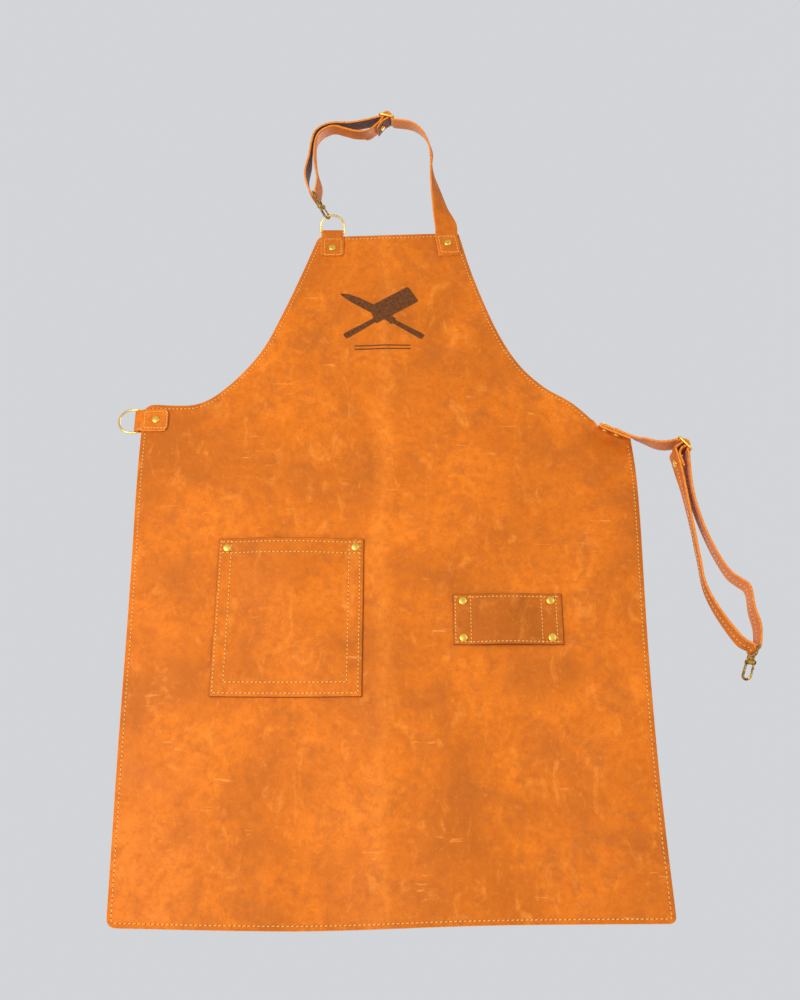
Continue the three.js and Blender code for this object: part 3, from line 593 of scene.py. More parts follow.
def evenly(points, pitch):
    """Points and directions spaced evenly along a line of points."""
    path = [Vector(p) for p in points]
    lengths = [(b - a).length for a, b in zip(path, path[1:])]
    total = sum(lengths)
    count = max(1, round(total / pitch))
    found = []
    i = 0
    passed = 0.0
    for k in range(count):
        target = (k + 0.5) * total / count
        while passed + lengths[i] < target:
            passed += lengths[i]
            i += 1
        share = (target - passed) / lengths[i]
        found.append((path[i].lerp(path[i + 1], share), path[i + 1] - path[i]))
    return found


def sew(name, body, rows, surface, pitch=STITCH_PITCH):
    """Sews rows of plane points onto surface(x, z) -> (point, normal)."""
    threads, holes = Build(), Build()
    for points in rows:
        for middle, direction in evenly(points, pitch):
            point, normal = surface(middle.x, middle.y)
            ahead = surface(middle.x + direction.normalized().x, middle.y + direction.normalized().y)[0]
            stitch(threads, holes, point, ahead - point, normal)
    dressed(threads.make(name + "_thread", [THREAD]), body, "leather")
    dressed(holes.make(name + "_holes", [HOLE_SHADE]), body, "leather")


# ================= the hanging panel =================

# Where the panel is held flat: [x, z, reach].
HELD = [(-76, 860, 150), (79, 860, 150), (-295, 592, 110), (282, 576, 120)]
FOLD_FROM = Vector((263, 585))
FOLD_TO = Vector((301, 568))
FOLD_RADIUS = 5
FOLD_DROOP = math.radians(25)
FOLD_BEND = math.pi / 2 + FOLD_DROOP
FOLD_SETBACK = PANEL_THICK / 2 * math.tan(math.pi / 4 - FOLD_DROOP / 2)
FOLD_TANGENT = FOLD_RADIUS * math.tan(FOLD_BEND / 2)
FOLD_START = -FOLD_SETBACK - FOLD_TANGENT
FOLD_REACH = FOLD_START + FOLD_RADIUS * FOLD_BEND + STRAP_WIDTH + FOLD_SETBACK - FOLD_TANGENT
fold_along = (FOLD_TO - FOLD_FROM).normalized()
fold_up = Vector((-fold_along.y, fold_along.x))


def drape(x, z):
    """How far the hanging hide stands forward of flat, in soft folds that grow to the hem."""
    held = 1.0
    for hx, hz, reach in HELD:
        held *= smoothstep((math.hypot(x - hx, z - hz) - 30) / reach)
    low = 1 - z / 877
    folds = 2.6 * low * math.sin(x / 38 + 0.9 * math.sin(z / 190))
    swell = 3.2 * noise.noise(Vector((x / 170, 0.3, z / 210)))
    ripple = 0.9 * noise.noise(Vector((x / 55, 4.1, z / 80)))
    ridge = 1.5 * math.exp(-((x + 4) / 17) ** 2)
    return held * (folds + swell + ripple + ridge)


def hide_point(x, z, depth):
    """A point of the panel: depth 0 is its front face, PANEL_THICK its back, with its normal."""
    offset = Vector((x, z)) - FOLD_FROM
    a, d = offset.dot(fold_along), offset.dot(fold_up)
    bend = smoothstep((a + 12) / 14) * FOLD_BEND
    past = d - FOLD_START
    inward = PANEL_THICK / 2 - depth
    if bend <= 0 or past <= 0 or a > 60:
        return Vector((x, -PANEL_THICK + depth - drape(x, z), z)), FRONT.copy()
    angle = min(past / FOLD_RADIUS, bend)
    rest = past - FOLD_RADIUS * angle
    up = FOLD_START + FOLD_RADIUS * math.sin(angle) + rest * math.cos(angle)
    forward = FOLD_RADIUS * (1 - math.cos(angle)) + rest * math.sin(angle)
    plane = FOLD_FROM + fold_along * a + fold_up * up
    lift = Vector((fold_up.x, 0, fold_up.y))
    normal = FRONT * math.cos(angle) - lift * math.sin(angle)
    middle = Vector((plane.x, -PANEL_THICK / 2 - forward - drape(x, z), plane.y))
    return middle + normal * inward, normal


def panel_outline(step=4):
    """The cut edge, clockwise from the bib's top left, with the corner's bent flap."""
    flap_from = FOLD_FROM + fold_up * FOLD_REACH
    flap_to = FOLD_TO + fold_up * FOLD_REACH
    edge = line((-88, 869.5), (90, 876), step)
    edge += quadratic((90, 876), (94, 876), (95, 871), 4)
    edge += uniform_spline([(95, 871), (112, 805), (138, 730), (165, 677), (196, 642), (232, 617),
                            tuple(FOLD_FROM)], step)
    edge += line(FOLD_FROM, flap_from, step) + line(flap_from, flap_to, step)
    edge += line(flap_to, FOLD_TO, step)
    edge += uniform_spline([tuple(FOLD_TO), (304, 500), (300, 320), (299, 160), (303, 14)], step)
    edge += quadratic((303, 14), (303.5, 6), (294, 5.7), 8)
    edge += uniform_spline([(294, 5.7), (120, 4.4), (-90, -1.4), (-280, 1.4)], step)
    edge += quadratic((-280, 1.4), (-291.5, 1.8), (-291.8, 12), 6)
    edge += uniform_spline([(-291.8, 12), (-297, 180), (-301, 340), (-306.5, 520), (-306.8, 598)],
                           step)
    edge += quadratic((-306.8, 598), (-307, 614), (-294, 615), 6)
    edge += uniform_spline([(-294, 615), (-240, 616), (-201, 643), (-163, 692), (-138, 749),
                            (-117, 805), (-97, 863)], step)
    edge += quadratic((-97, 863), (-95, 869), (-88, 869.5), 4)
    return edge


def moved_inward(edge, distance):
    """A clockwise closed edge moved towards its inside."""
    moved = []
    for i, point in enumerate(edge):
        before, after = edge[i - 1], edge[(i + 1) % len(edge)]
        way = (after - before).normalized()
        moved.append(point + Vector((way.y, -way.x)) * distance)
    return moved


def is_inside(point, polygon):
    inside = False
    x, y = point
    for i, a in enumerate(polygon):
        b = polygon[i - 1]
        if (a.y > y) != (b.y > y) and x < (b.x - a.x) * (y - a.y) / (b.y - a.y) + a.x:
            inside = not inside
    return inside


EDGE_ROUND = 0.6
GRID_STEP = 7


def grid_inside(polygon, edge, step=GRID_STEP):
    """A triangular grid of points that keeps clear of the cut edge."""
    near = KDTree(len(edge))
    for i, point in enumerate(edge):
        near.insert((point.x, point.y, 0), i)
    near.balance()
    xs = [p.x for p in edge]
    ys = [p.y for p in edge]
    found = []
    rows_high = step * math.sqrt(3) / 2
    for j in range(int((max(ys) - min(ys)) / rows_high) + 1):
        y = min(ys) + j * rows_high
        for i in range(int((max(xs) - min(xs)) / step) + 1):
            x = min(xs) + (i + 0.5 * (j % 2)) * step
            if near.find((x, y, 0))[2] > step * 0.6 and is_inside((x, y), polygon):
                found.append(Vector((x, y)))
    return found


def filled(rim, step=GRID_STEP):
    """Fills a closed rim with triangles, and says which point each corner of it became."""
    borders = [(i, (i + 1) % len(rim)) for i in range(len(rim))]
    points, _, triangles, sources, _, _ = delaunay_2d_cdt(
        rim + grid_inside(rim, rim, step), borders, [], 1, 1e-6)
    where = {source: i for i, found in enumerate(sources) for source in found}
    return points, triangles, where


def build_panel():
    edge = panel_outline()
    rim = moved_inward(edge, EDGE_ROUND)
    count = len(rim)
    points, triangles, where = filled(rim)
    size = len(points)
    shell_points = [hide_point(p.x, p.y, 0)[0] for p in points]
    shell_points += [hide_point(p.x, p.y, PANEL_THICK)[0] for p in points]
    shell_points += [hide_point(p.x, p.y, EDGE_ROUND)[0] for p in edge]
    shell_points += [hide_point(p.x, p.y, PANEL_THICK - EDGE_ROUND)[0] for p in edge]
    faces = [list(t) for t in triangles] + [[size + i for i in t][::-1] for t in triangles]
    slots = [0] * len(triangles) + [1] * len(triangles)
    for i in range(count):
        k = (i + 1) % count
        front = (where[i], where[k])
        back = (size + where[i], size + where[k])
        upper = (2 * size + i, 2 * size + k)
        lower = (2 * size + count + i, 2 * size + count + k)
        for (a, b), (c, d) in ((front, upper), (upper, lower), (lower, back)):
            faces.append([a, b, d, c])
            slots.append(2)
    panel = Build().add((shell_points, faces, slots)).make(
        "panel_leather", [GRAIN, FLESH, EDGE], sharp=60)
    dressed(panel, "apron", "leather", "apron_panel")
    return edge


def on_panel(x, z):
    return hide_point(x, z, 0)


def behind_panel(x, z):
    point, normal = hide_point(x, z, PANEL_THICK)
    return point, -normal


def sew_panel(edge):
    """One row of lockstitch all round, except on the bent corner."""
    path = moved_inward(edge, STITCH_INSET)
    keep = [p for p in path if min((p - q).length for q in edge) > STITCH_INSET - 0.15]
    kept = []
    for point in keep:
        offset = point - FOLD_FROM
        on_corner = offset.dot(fold_along) > -16 and offset.dot(fold_up) > FOLD_START
        if not on_corner:
            kept.append(point)
    start = max(range(len(kept)), key=lambda i: (kept[i] - kept[i - 1]).length)
    row_points = kept[start:] + kept[:start]
    sew("panel_front_stitch", "apron", [row_points], on_panel)
    sew("panel_back_stitch", "apron", [row_points], behind_panel)


# ================= burnt emblem on the bib =================

EMBLEM_MIDDLE = Vector((-7.5, 745))
EMBLEM_PROUD = 0.08
EMBLEM_SUNK = 0.1
EMBLEM_OVERLAP = 0.05
EMBLEM_TURN = 32
EMBLEM_EDGE_STEP = 2.5
EMBLEM_GRID_STEP = 3
CLEAVER = [(-58, -3.6), (-54, -4.6), (-14, -3.4), (-12, -6), (50, -6), (52, -4), (52, 19), (50, 21),
           (-4, 21), (-9, 16), (-12, 4), (-14, 3.4), (-54, 4.6), (-58, 3.6)]
KNIFE = [(-62, -3.2), (-59, -4.2), (-18, -3.2), (-16, -5.4), (-13, -5.4), (-12, -4), (46, -4), (62, -2.4),
         (66, -0.6), (56, 4.6), (40, 7.6), (20, 8.4), (-10, 8), (-12, 5.6), (-16, 5.6), (-18, 3.2),
         (-59, 4.2), (-62, 3.2)]
BARS = [[(-36, v - 0.9), (36, v - 0.9), (36, v + 0.9), (-36, v + 0.9)] for v in (-45, -50)]


def burnt_shape(marks, outline, turn, proud):
    """A thin scorched layer over the grain, cut to a closed outline."""
    rotate = Matrix.Rotation(math.radians(turn), 2)
    corners = [EMBLEM_MIDDLE + rotate @ Vector(p) for p in outline]
    edge = []
    for a, b in zip(corners, corners[1:] + corners[:1]):
        edge += line(a, b, EMBLEM_EDGE_STEP)
    count = len(edge)
    points, triangles, where = filled(edge, EMBLEM_GRID_STEP)
    size = len(points)
    top = [hide_point(p.x, p.y, -proud)[0] for p in points]
    under = [hide_point(p.x, p.y, EMBLEM_SUNK)[0] for p in points]
    faces = [list(t) for t in triangles] + [[size + i for i in t][::-1] for t in triangles]
    for i in range(count):
        a, b = where[i], where[(i + 1) % count]
        faces.append([a, b, size + b, size + a])
    marks.add((top + under, faces))


def build_emblem():
    """A crossed cleaver and knife over two plain bars."""
    marks = Build()
    burnt_shape(marks, CLEAVER, EMBLEM_TURN, EMBLEM_PROUD)
    burnt_shape(marks, [(-x, y) for x, y in KNIFE], -EMBLEM_TURN, EMBLEM_PROUD + EMBLEM_OVERLAP)
    for bar in BARS:
        burnt_shape(marks, bar, 0, EMBLEM_PROUD)
    dressed(marks.make("burnt_emblem", [SCORCH]), "apron", "leather")


# ================= patch pocket and tool loop =================

def side_rise(u, width):
    """0 in the flat margin at each side, 1 in the middle."""
    margin = FLAT_MARGIN / width
    return math.sin(math.pi * clamp01((u - margin) / (1 - 2 * margin)))


def pocket_bulge(u, v):
    """The pocket stands off the panel at its open top and lies down to its sewn bottom."""
    return POCKET["bulge"] * side_rise(u, POCKET["width"]) * min(1, 1.6 * v)


def holder_bulge(u, v):
    return HOLDER["bulge"] * side_rise(u, HOLDER["width"])


def patch_surface(patch, bulge, depth=0.0):
    """surface(x, z) for a patch, depth below its front face."""
    x0, z0 = patch["low_left"]

    def surface(x, z):
        lift = bulge(clamp01((x - x0) / patch["width"]), clamp01((z - z0) / patch["height"]))
        y = -PANEL_THICK - GAP - PATCH_THICK + depth - lift - drape(x, z)
        return Vector((x, y, z)), FRONT.copy()
    return surface


def build_patch(name, patch, bulge, grain, node):
    """A sewn-on patch with real thickness and softened, cut edges."""
    x0, z0 = patch["low_left"]
    width, height = patch["width"], patch["height"]
    columns, rows = round(width / 4), round(height / 4)
    front = patch_surface(patch, bulge)
    back = patch_surface(patch, bulge, PATCH_THICK)
    upper = patch_surface(patch, bulge, EDGE_ROUND)
    lower = patch_surface(patch, bulge, PATCH_THICK - EDGE_ROUND)
    spread = lambda share, start, size: start + 0.5 + share * (size - 1)
    grid = [(spread(i / columns, x0, width), spread(j / rows, z0, height))
            for i in range(columns + 1) for j in range(rows + 1)]
    at = lambda i, j: i * (rows + 1) + j
    loop = [(i, 0) for i in range(columns)] + [(columns, j) for j in range(rows)]
    loop += [(i, rows) for i in range(columns, 0, -1)] + [(0, j) for j in range(rows, 0, -1)]
    rim = [(x0 + width * i / columns, z0 + height * j / rows) for i, j in loop]
    points = [front(x, z)[0] for x, z in grid] + [back(x, z)[0] for x, z in grid]
    points += [upper(x, z)[0] for x, z in rim] + [lower(x, z)[0] for x, z in rim]
    size = len(grid)
    faces, slots = [], []
    for i in range(columns):
        for j in range(rows):
            quad = [at(i, j), at(i + 1, j), at(i + 1, j + 1), at(i, j + 1)]
            faces += [quad, [size + k for k in quad][::-1]]
            slots += [0, 1]
    for k, (i, j) in enumerate(loop):
        following = (k + 1) % len(loop)
        a, b = at(i, j), at(*loop[following])
        c, d = 2 * size + k, 2 * size + following
        e, f = c + len(loop), d + len(loop)
        faces += [[a, b, d, c], [c, d, f, e], [e, f, size + b, size + a]]
        slots += [2, 2, 2]
    made = Build().add((points, faces, slots)).make(name, [grain, STRAP_FLESH_PAINTED_SHADE, PATCH_EDGE_PAINTED_SHADE], sharp=60)
    dressed(made, "apron", "leather", node)
    return front


def build_pocket():
    x0, z0 = POCKET["low_left"]
    x1, z1 = x0 + POCKET["width"], z0 + POCKET["height"]
    front = build_patch("pocket_leather", POCKET, pocket_bulge, POCKET_GRAIN, "patch_pocket")
    outer = [(x0 + 2.8, z1 - 1.5), (x0 + 2.8, z0 + 4.5), (x1 - 4.5, z0 + 4.5), (x1 - 4.5, z1 - 1.5)]
    inner = [(x0 + 14.8, z1 - 1.5), (x0 + 14.8, z0 + 17), (x1 - 17.5, z0 + 17), (x1 - 17.5, z1 - 1.5)]
    hems = [[(x0 + 3, z1 - h), (x1 - 4, z1 - h)] for h in (4.5, 18)]
    sides = [[a, b] for corners in (outer, inner) for a, b in zip(corners, corners[1:])]
    sew("pocket_stitch", "apron", hems + sides, front)


def build_holder():
    x0, z0 = HOLDER["low_left"]
    x1, z1 = x0 + HOLDER["width"], z0 + HOLDER["height"]
    front = build_patch("holder_leather", HOLDER, holder_bulge, HOLDER_GRAIN, "tool_loop")
    columns = [[(x, z0 + 1.2), (x, z1 - 1.2)] for x in (x0 + 2.2, x0 + 20, x1 - 24, x1 - 7)]
    rows = [[(x0 + 2, z), (x1 - 3, z)] for z in (z0 + 3.5, z1 - 4)]
    sew("holder_stitch", "apron", columns + rows, front, 4.6)


# ================= rivets =================

DOME_RIM = 0.25
DOME_STEPS = 10
DOME_FULLNESS = 0.8
POST_PAST_BACK = 1.2


def dome(radius, height, sides=40):
    """A low dome on local z with a rounded rim."""
    profile = [(0, 0), (radius - DOME_RIM, 0), (radius, DOME_RIM)]
    for i in range(1, DOME_STEPS + 1):
        angle = math.pi / 2 * i / DOME_STEPS
        r = radius * math.cos(angle) ** DOME_FULLNESS if i < DOME_STEPS else 0
        profile.append((r, DOME_RIM + (height - DOME_RIM) * math.sin(angle)))
    return lathe(profile, sides)


def rivet(name, body, seat, out, grip):
    """A capped rivet through the leather: its domed front cap, and the cap behind."""
    up = Vector(out).normalized()
    turn = Z.rotation_difference(up).to_matrix()
    axes = (turn @ X, turn @ Y, up)
    seat = Vector(seat)
    cap = Build().add(placed(dome(RIVET_CAP_RADIUS, RIVET_CAP_HEIGHT), seat + up * GAP, *axes))
    cap.add(placed(round_bar(RIVET_POST_RADIUS, -grip - POST_PAST_BACK, 0.2, 0.2, 20),
                   seat + up * GAP, *axes))
    dressed(cap.make(name + "_cap_brass", [BRASS]), body, "brass", name + "_cap")
    back = Build().add(placed(dome(RIVET_BACK_RADIUS, RIVET_BACK_HEIGHT - GAP),
                              seat - up * (grip + GAP), axes[0], -axes[1], -up))
    dressed(back.make(name + "_back_brass", [BRASS]), body, "brass", name + "_back")


def front_rivets(prefix, places, face, grip):
    for i, (x, z) in enumerate(places):
        seat = (x, face - drape(x, z), z)
        rivet(f"{prefix}_{i + 1}" if len(places) > 1 else prefix, "apron", seat, FRONT, grip)


# ================= D-rings and their tabs =================

TAB_SPREAD = STRAP_THICK / 2 + GAP + RING_WIRE + 0.1
TAB_FACE = -PANEL_THICK / 2 - TAB_SPREAD - STRAP_THICK / 2
TAB_NECK = 6
TAB_GRIP = 2 * TAB_SPREAD + STRAP_THICK
TAB_STITCH_PITCH = 4


def band_section(half, thick):
    """(across, off) points round a strip of leather with soft corners, and their slots."""
    face = thick / 2
    flat = half - 0.7
    across = [-flat + 2 * flat * i / 8 for i in range(9)]
    loop = [(w, face) for w in across] + [(half - 0.15, face - 0.35), (half, 0),
                                          (half - 0.15, 0.35 - face)]
    loop += [(w, -face) for w in reversed(across)] + [(0.15 - half, 0.35 - face), (-half, 0),
                                                      (0.15 - half, face - 0.35)]
    slots = [0] * 8 + [2] * 4 + [1] * 8 + [2] * 4
    return loop, slots


def build_tab(name, node, origin, axes, corner):
    """A strip folded round the ring's bar and sewn through the panel."""
    reach = TAB_LENGTH - TAB_SPREAD - STRAP_THICK / 2
    leg = [reach - (reach - TAB_NECK) * i / 12 for i in range(13)] + [TAB_NECK * 0.66, TAB_NECK * 0.33]
    path = [(TAB_SPREAD, -z) for z in leg] + arc(0, 0, TAB_SPREAD, 0, 180, 16)
    path += [(-TAB_SPREAD, -z) for z in reversed(leg)]
    slots = band_section(1, STRAP_THICK)[1]
    rings = []
    for i, (y, z) in enumerate(path):
        before, after = path[max(i - 1, 0)], path[min(i + 1, len(path) - 1)]
        along = Vector((after[0] - before[0], after[1] - before[1])).normalized()
        narrow = smoothstep((z + TAB_NECK + 1.5) / 3)
        half = (TAB_WIDTH + (TAB_FOLD_WIDTH - TAB_WIDTH) * narrow) / 2
        from_end = z + reach
        if from_end < corner:
            half -= corner - math.sqrt(corner ** 2 - (corner - from_end) ** 2)
        rings.append([Vector((w, y + off * along.y, z - off * along.x))
                      for w, off in band_section(half, STRAP_THICK)[0]])
    shell = skin(rings, slots=slots)
    made = Build().add(placed(shell, origin, *axes)).make(name, [STRAP_GRAIN, STRAP_FLESH_PAINTED_SHADE, EDGE], 50)
    dressed(made, "apron", "leather", node)


def on_tab(x, z):
    return Vector((x, TAB_FACE, z)), FRONT.copy()


def behind_tab(x, z):
    return Vector((x, TAB_FACE + TAB_GRIP, z)), Y.copy()


def box_rows(x0, x1, z0, z1):
    corners = [(x0, z0), (x1, z0), (x1, z1), (x0, z1), (x0, z0)]
    return [[a, b] for a, b in zip(corners, corners[1:])]


def d_ring(name, node, body, origin, axes):
    rise = RING_DEPTH - RING_HALF_WIDTH
    side = RING_HALF_WIDTH - RING_CORNER
    path = arc(0, rise, RING_HALF_WIDTH, 0, 180, 48)
    path += arc(-side, RING_CORNER, RING_CORNER, 180, 270, 6)
    path += arc(side, RING_CORNER, RING_CORNER, 270, 360, 6)
    ring = Build().add(placed(wire(path, RING_WIRE, True, 20), origin, *axes))
    dressed(ring.make(name, [RING_BRASS]), body, "brass", node)


def build_rings():
    bib_bar = Vector((BIB_RING_BAR[0], -PANEL_THICK / 2, BIB_RING_BAR[1]))
    waist_bar = Vector((WAIST_RING_BAR[0], -PANEL_THICK / 2, WAIST_RING_BAR[1]))
    lean = math.radians(BIB_RING_LEAN)
    bow_up = Vector((0, -math.sin(lean), math.cos(lean)))
    build_tab("bib_tab_leather", "bib_ring_tab", bib_bar, (X, Y, Z), 2)
    build_tab("waist_tab_leather", "waist_ring_tab", waist_bar, (Z, Y, -X), 6)
    d_ring("bib_ring_brass", "bib_d_ring", "neck_loop", bib_bar, (X, bow_up.cross(X), bow_up))
    d_ring("waist_ring_brass", "waist_d_ring", "waist_ring", waist_bar, (Z, Y, -X))
    for side, surface in (("front", on_tab), ("back", behind_tab)):
        sew(f"bib_tab_{side}_stitch", "apron", box_rows(-86.3, -63.9, 838.8, 863.8), surface,
            TAB_STITCH_PITCH)
        sew(f"waist_tab_{side}_stitch", "apron", box_rows(-303.5, -275.9, 581, 604), surface,
            TAB_STITCH_PITCH)


# ================= straps =================

class Strap:
    """A strap swept through controls of (centre, direction across it)."""
    STATION_STEP = 2.5

    def __init__(self, controls):
        centres = [Vector(c) for c, _ in controls]
        widths = [Vector(w).normalized() for _, w in controls]
        self.points, self.across = [], []
        for i in range(len(centres) - 1):
            steps = max(1, round((centres[i + 1] - centres[i]).length / self.STATION_STEP))
            for j in range(steps):
                self.points.append(centripetal(centres, i, j / steps))
                self.across.append(widths[i].lerp(widths[i + 1], j / steps))
        self.points.append(centres[-1])
        self.across.append(widths[-1])
        for _ in range(4):
            inner = [(a + b * 2 + c) / 4 for a, b, c in
                     zip(self.across, self.across[1:], self.across[2:])]
            self.across = [self.across[0], *inner, self.across[-1]]
        self.frames = [self.frame(i) for i in range(len(self.points))]
        self.length = sum((b - a).length for a, b in zip(self.points, self.points[1:]))

    def frame(self, i):
        last = len(self.points) - 1
        along = (self.points[min(i + 1, last)] - self.points[max(i - 1, 0)]).normalized()
        width = (self.across[i] - along * self.across[i].dot(along)).normalized()
        return along, width, along.cross(width)

    def shell(self, grain_out, nap_until=0.0):
        """grain_out says that the grain side is the one the sweep calls out.

        Up to the given length along the strap its inner face has the orange nap; past it the dark flesh
        is painted shade, where the strands lie doubled.
        """
        loop, slots = band_section(STRAP_WIDTH / 2, STRAP_THICK)
        if not grain_out:
            slots = [{0: 1, 1: 0}.get(s, s) for s in slots]
        rings = []
        for point, (_, width, out) in zip(self.points, self.frames):
            rings.append([point + width * w + out * off for w, off in loop])
        points, faces, marks = skin(rings, slots=slots)
        passed = 0.0
        for i, (a, b) in enumerate(zip(self.points, self.points[1:])):
            passed += (b - a).length
            # Before this length the orange nap takes the place of the dark flesh, which is painted shade.
            if passed < nap_until:
                strip = slice(i * len(loop), (i + 1) * len(loop))
                marks[strip] = [3 if mark == 1 else mark for mark in marks[strip]]
        return points, faces, marks

    def sew(self, threads, holes, across, side, first=0.0, last=1e9):
        """A row of stitches along the strap, on the out side (1) or the other (-1)."""
        passed = 0.0
        due = first
        for i in range(len(self.points) - 1):
            step = self.points[i + 1] - self.points[i]
            while due <= passed + step.length and due < last:
                along, width, out = self.frames[i]
                point = self.points[i] + step * ((due - passed) / step.length)
                face = out * side
                stitch(threads, holes, point + width * across + face * (STRAP_THICK / 2), along, face)
                due += STITCH_PITCH
            passed += step.length


def on_edge(outward, lean):
    """Across a strap that stands on edge, its far side leaning outwards; degrees."""
    lean, outward = math.radians(lean), math.radians(outward)
    return Vector((math.sin(lean) * math.cos(outward), math.cos(lean),
                   math.sin(lean) * math.sin(outward)))


def from_near_edge(x, z, width):
    half = STRAP_WIDTH / 2
    return Vector((x, -STRAP_WIDTH, z)) + width * half, width


# The strap's way round a slide's bars, as (along the slide, off its face).
WRAP_RADIUS = SLIDE_WIRE + GAP + STRAP_THICK / 2
OVER_RADIUS = WRAP_RADIUS + STRAP_THICK + GAP
CROSSING = math.degrees(math.acos((OVER_RADIUS + WRAP_RADIUS) / SLIDE_HALF_LENGTH))
PASSING = [
    *arc(SLIDE_HALF_LENGTH, 0, WRAP_RADIUS, -90, -180 + CROSSING, 4),
    *arc(0, 0, OVER_RADIUS, CROSSING, 180 - CROSSING, 8),
    *arc(-SLIDE_HALF_LENGTH, 0, WRAP_RADIUS, -CROSSING, -90, 4),
]
LEG_ANGLE = 153.3
WRAP = arc(0, 0, WRAP_RADIUS, LEG_ANGLE, LEG_ANGLE - 180, 8)
TAIL_OFFSET = STRAP_THICK + GAP + 0.1
FOLD_GRIP = TAIL_OFFSET + STRAP_THICK


class Slide:
    def __init__(self, centre, turn, lean):
        angle = math.radians(turn)
        self.centre = Vector(centre)
        self.along = Vector((math.cos(angle), 0, math.sin(angle)))
        self.width = on_edge(turn + 90, lean)
        out = self.width.cross(self.along).normalized()
        self.out = out if out.z >= 0 else -out

    def through(self, path):
        return [(self.centre + self.along * u + self.out * v, self.width) for u, v in path]

    def build(self, name, node, body):
        frame_wire = wire_frame(SLIDE_HALF_LENGTH, SLIDE_HALF_WIDTH, SLIDE_CORNER, SLIDE_WIRE)
        bar = round_bar(SLIDE_WIRE, -SLIDE_HALF_WIDTH, SLIDE_HALF_WIDTH, 0.2, 16)
        shell = booled([frame_wire, bar])
        made = Build().add(placed(shell, self.centre, self.along, -self.out, self.width))
        dressed(made.make(name, [BRASS]), body, "brass", node)


def round_eye(bar, up, width, first, last):
    side = width.cross(up).normalized()
    return [(bar + side * s + up * h, width) for s, h in arc(0, 0, WRAP_RADIUS, first, last, 6)]


neck_slide = Slide((-2.5, -15.9, 1058), -14, 20)
waist_slide = Slide((359.9, -15, 548.1), -51, 0)
neck_hook_up = Vector((-0.467, -0.048, 0.883)).normalized()
neck_eye_width = Vector((0.2, 0.967, 0.16)).normalized()
neck_eye_bar = Vector((-99, -15, 925))
waist_hook_up = Vector((0.36, 0, 0.933)).normalized()
waist_eye_bar = Vector((416.5, -15, 296.5))

UPPER_RUN = on_edge(90, 20)
STRAP_END_Y = -PANEL_THICK - GAP - STRAP_THICK / 2


def neck_leg(along, across):
    """A point on the strap's leg below the neck slide: down the leg, then towards its tail."""
    start = neck_slide.through([WRAP[0]])[0][0]
    sine, cosine = math.sin(math.radians(LEG_ANGLE)), math.cos(math.radians(LEG_ANGLE))
    return (start + neck_slide.along * (-sine * along - cosine * across)
            + neck_slide.out * (cosine * along - sine * across))


def neck_tail(along, across):
    return neck_leg(along, across), neck_slide.width


NECK_PATH = [
    (Vector((81.6, STRAP_END_Y, 839)), X),
    (Vector((79.2, STRAP_END_Y, 857)), X),
    (Vector((77.5, STRAP_END_Y, 868)), X),
    (Vector((77.4, STRAP_END_Y - 0.1, 877.2)), X),
    (Vector((77.3, STRAP_END_Y - 0.2, 884)), Vector((1, 0.05, 0))),
    (Vector((69.5, -8.5, 914)), Vector((0.71, 0.68, 0.1))),
    (Vector((61.9, -14.2, 953)), Vector((0.37, 0.92, 0))),
    (Vector((57.8, -15, 984)), Y),
    from_near_edge(53, 1008.6, on_edge(25, 15)),
    from_near_edge(43.5, 1029.9, on_edge(45, 20)),
    from_near_edge(29.4, 1042.5, on_edge(65, 20)),
    *neck_slide.through(PASSING),
    from_near_edge(-32, 1046.2, UPPER_RUN),
    from_near_edge(-54, 1041.5, UPPER_RUN),
    from_near_edge(-78, 1041, UPPER_RUN),
    from_near_edge(-92, 1036, on_edge(110, 16)),
    from_near_edge(-102, 1026, on_edge(140, 10)),
    from_near_edge(-106.5, 1010, on_edge(165, 3)),
    from_near_edge(-109.5, 985, on_edge(0, 2)),
    from_near_edge(-114, 957, on_edge(0, 5)),
    from_near_edge(-111, 937, on_edge(20, 10)),
    *round_eye(neck_eye_bar, neck_hook_up, neck_eye_width, 180, 360),
    from_near_edge(-97.5, 948, on_edge(20, 10)),
    from_near_edge(-101.5, 972, on_edge(0, 5)),
    from_near_edge(-102.8, 990, on_edge(0, 3)),
    from_near_edge(-101.3, 1010, on_edge(165, 3)),
    from_near_edge(-97.6, 1021.8, on_edge(140, 10)),
    from_near_edge(-89.7, 1030.5, on_edge(110, 16)),
    from_near_edge(-77, 1035.5, UPPER_RUN),
    from_near_edge(-62, 1031.5, UPPER_RUN),
    from_near_edge(-46.7, 1026.8, UPPER_RUN),
    from_near_edge(-31, 1027.5, on_edge(80, 20)),
    neck_tail(16, 0),
    neck_tail(8, 0),
    *neck_slide.through(WRAP),
    neck_tail(5, TAIL_OFFSET + 1.3),
    neck_tail(9, TAIL_OFFSET),
    neck_tail(17, TAIL_OFFSET),
    neck_tail(22, TAIL_OFFSET + 0.5),
]

# The bent flap's own axes: along the fold, back across the flap, and off its upper side.
flap_along = Vector((fold_along.x, 0, fold_along.y))
corner_up = Vector((fold_up.x, 0, fold_up.y))
flap_across = Y * math.cos(FOLD_DROOP) + corner_up * math.sin(FOLD_DROOP)
flap_up = flap_along.cross(flap_across)
fold_length = (FOLD_TO - FOLD_FROM).length
flap_middle = Vector(((FOLD_FROM.x + FOLD_TO.x) / 2, -PANEL_THICK, (FOLD_FROM.y + FOLD_TO.y) / 2))
flap_middle -= flap_across * (STRAP_WIDTH / 2)
STRAP_SEAT = GAP + STRAP_THICK / 2


def fold_point(along, up):
    return flap_middle + flap_along * along + flap_up * up


tail_down = Vector((0.175, 0, -0.985)).normalized()
tail_out = Vector((tail_down.z, 0, -tail_down.x))
tail_seat = Vector((351.3, -STRAP_WIDTH / 2, 528))


def waist_tail(down, inward):
    return tail_seat + tail_down * down - tail_out * inward, Y


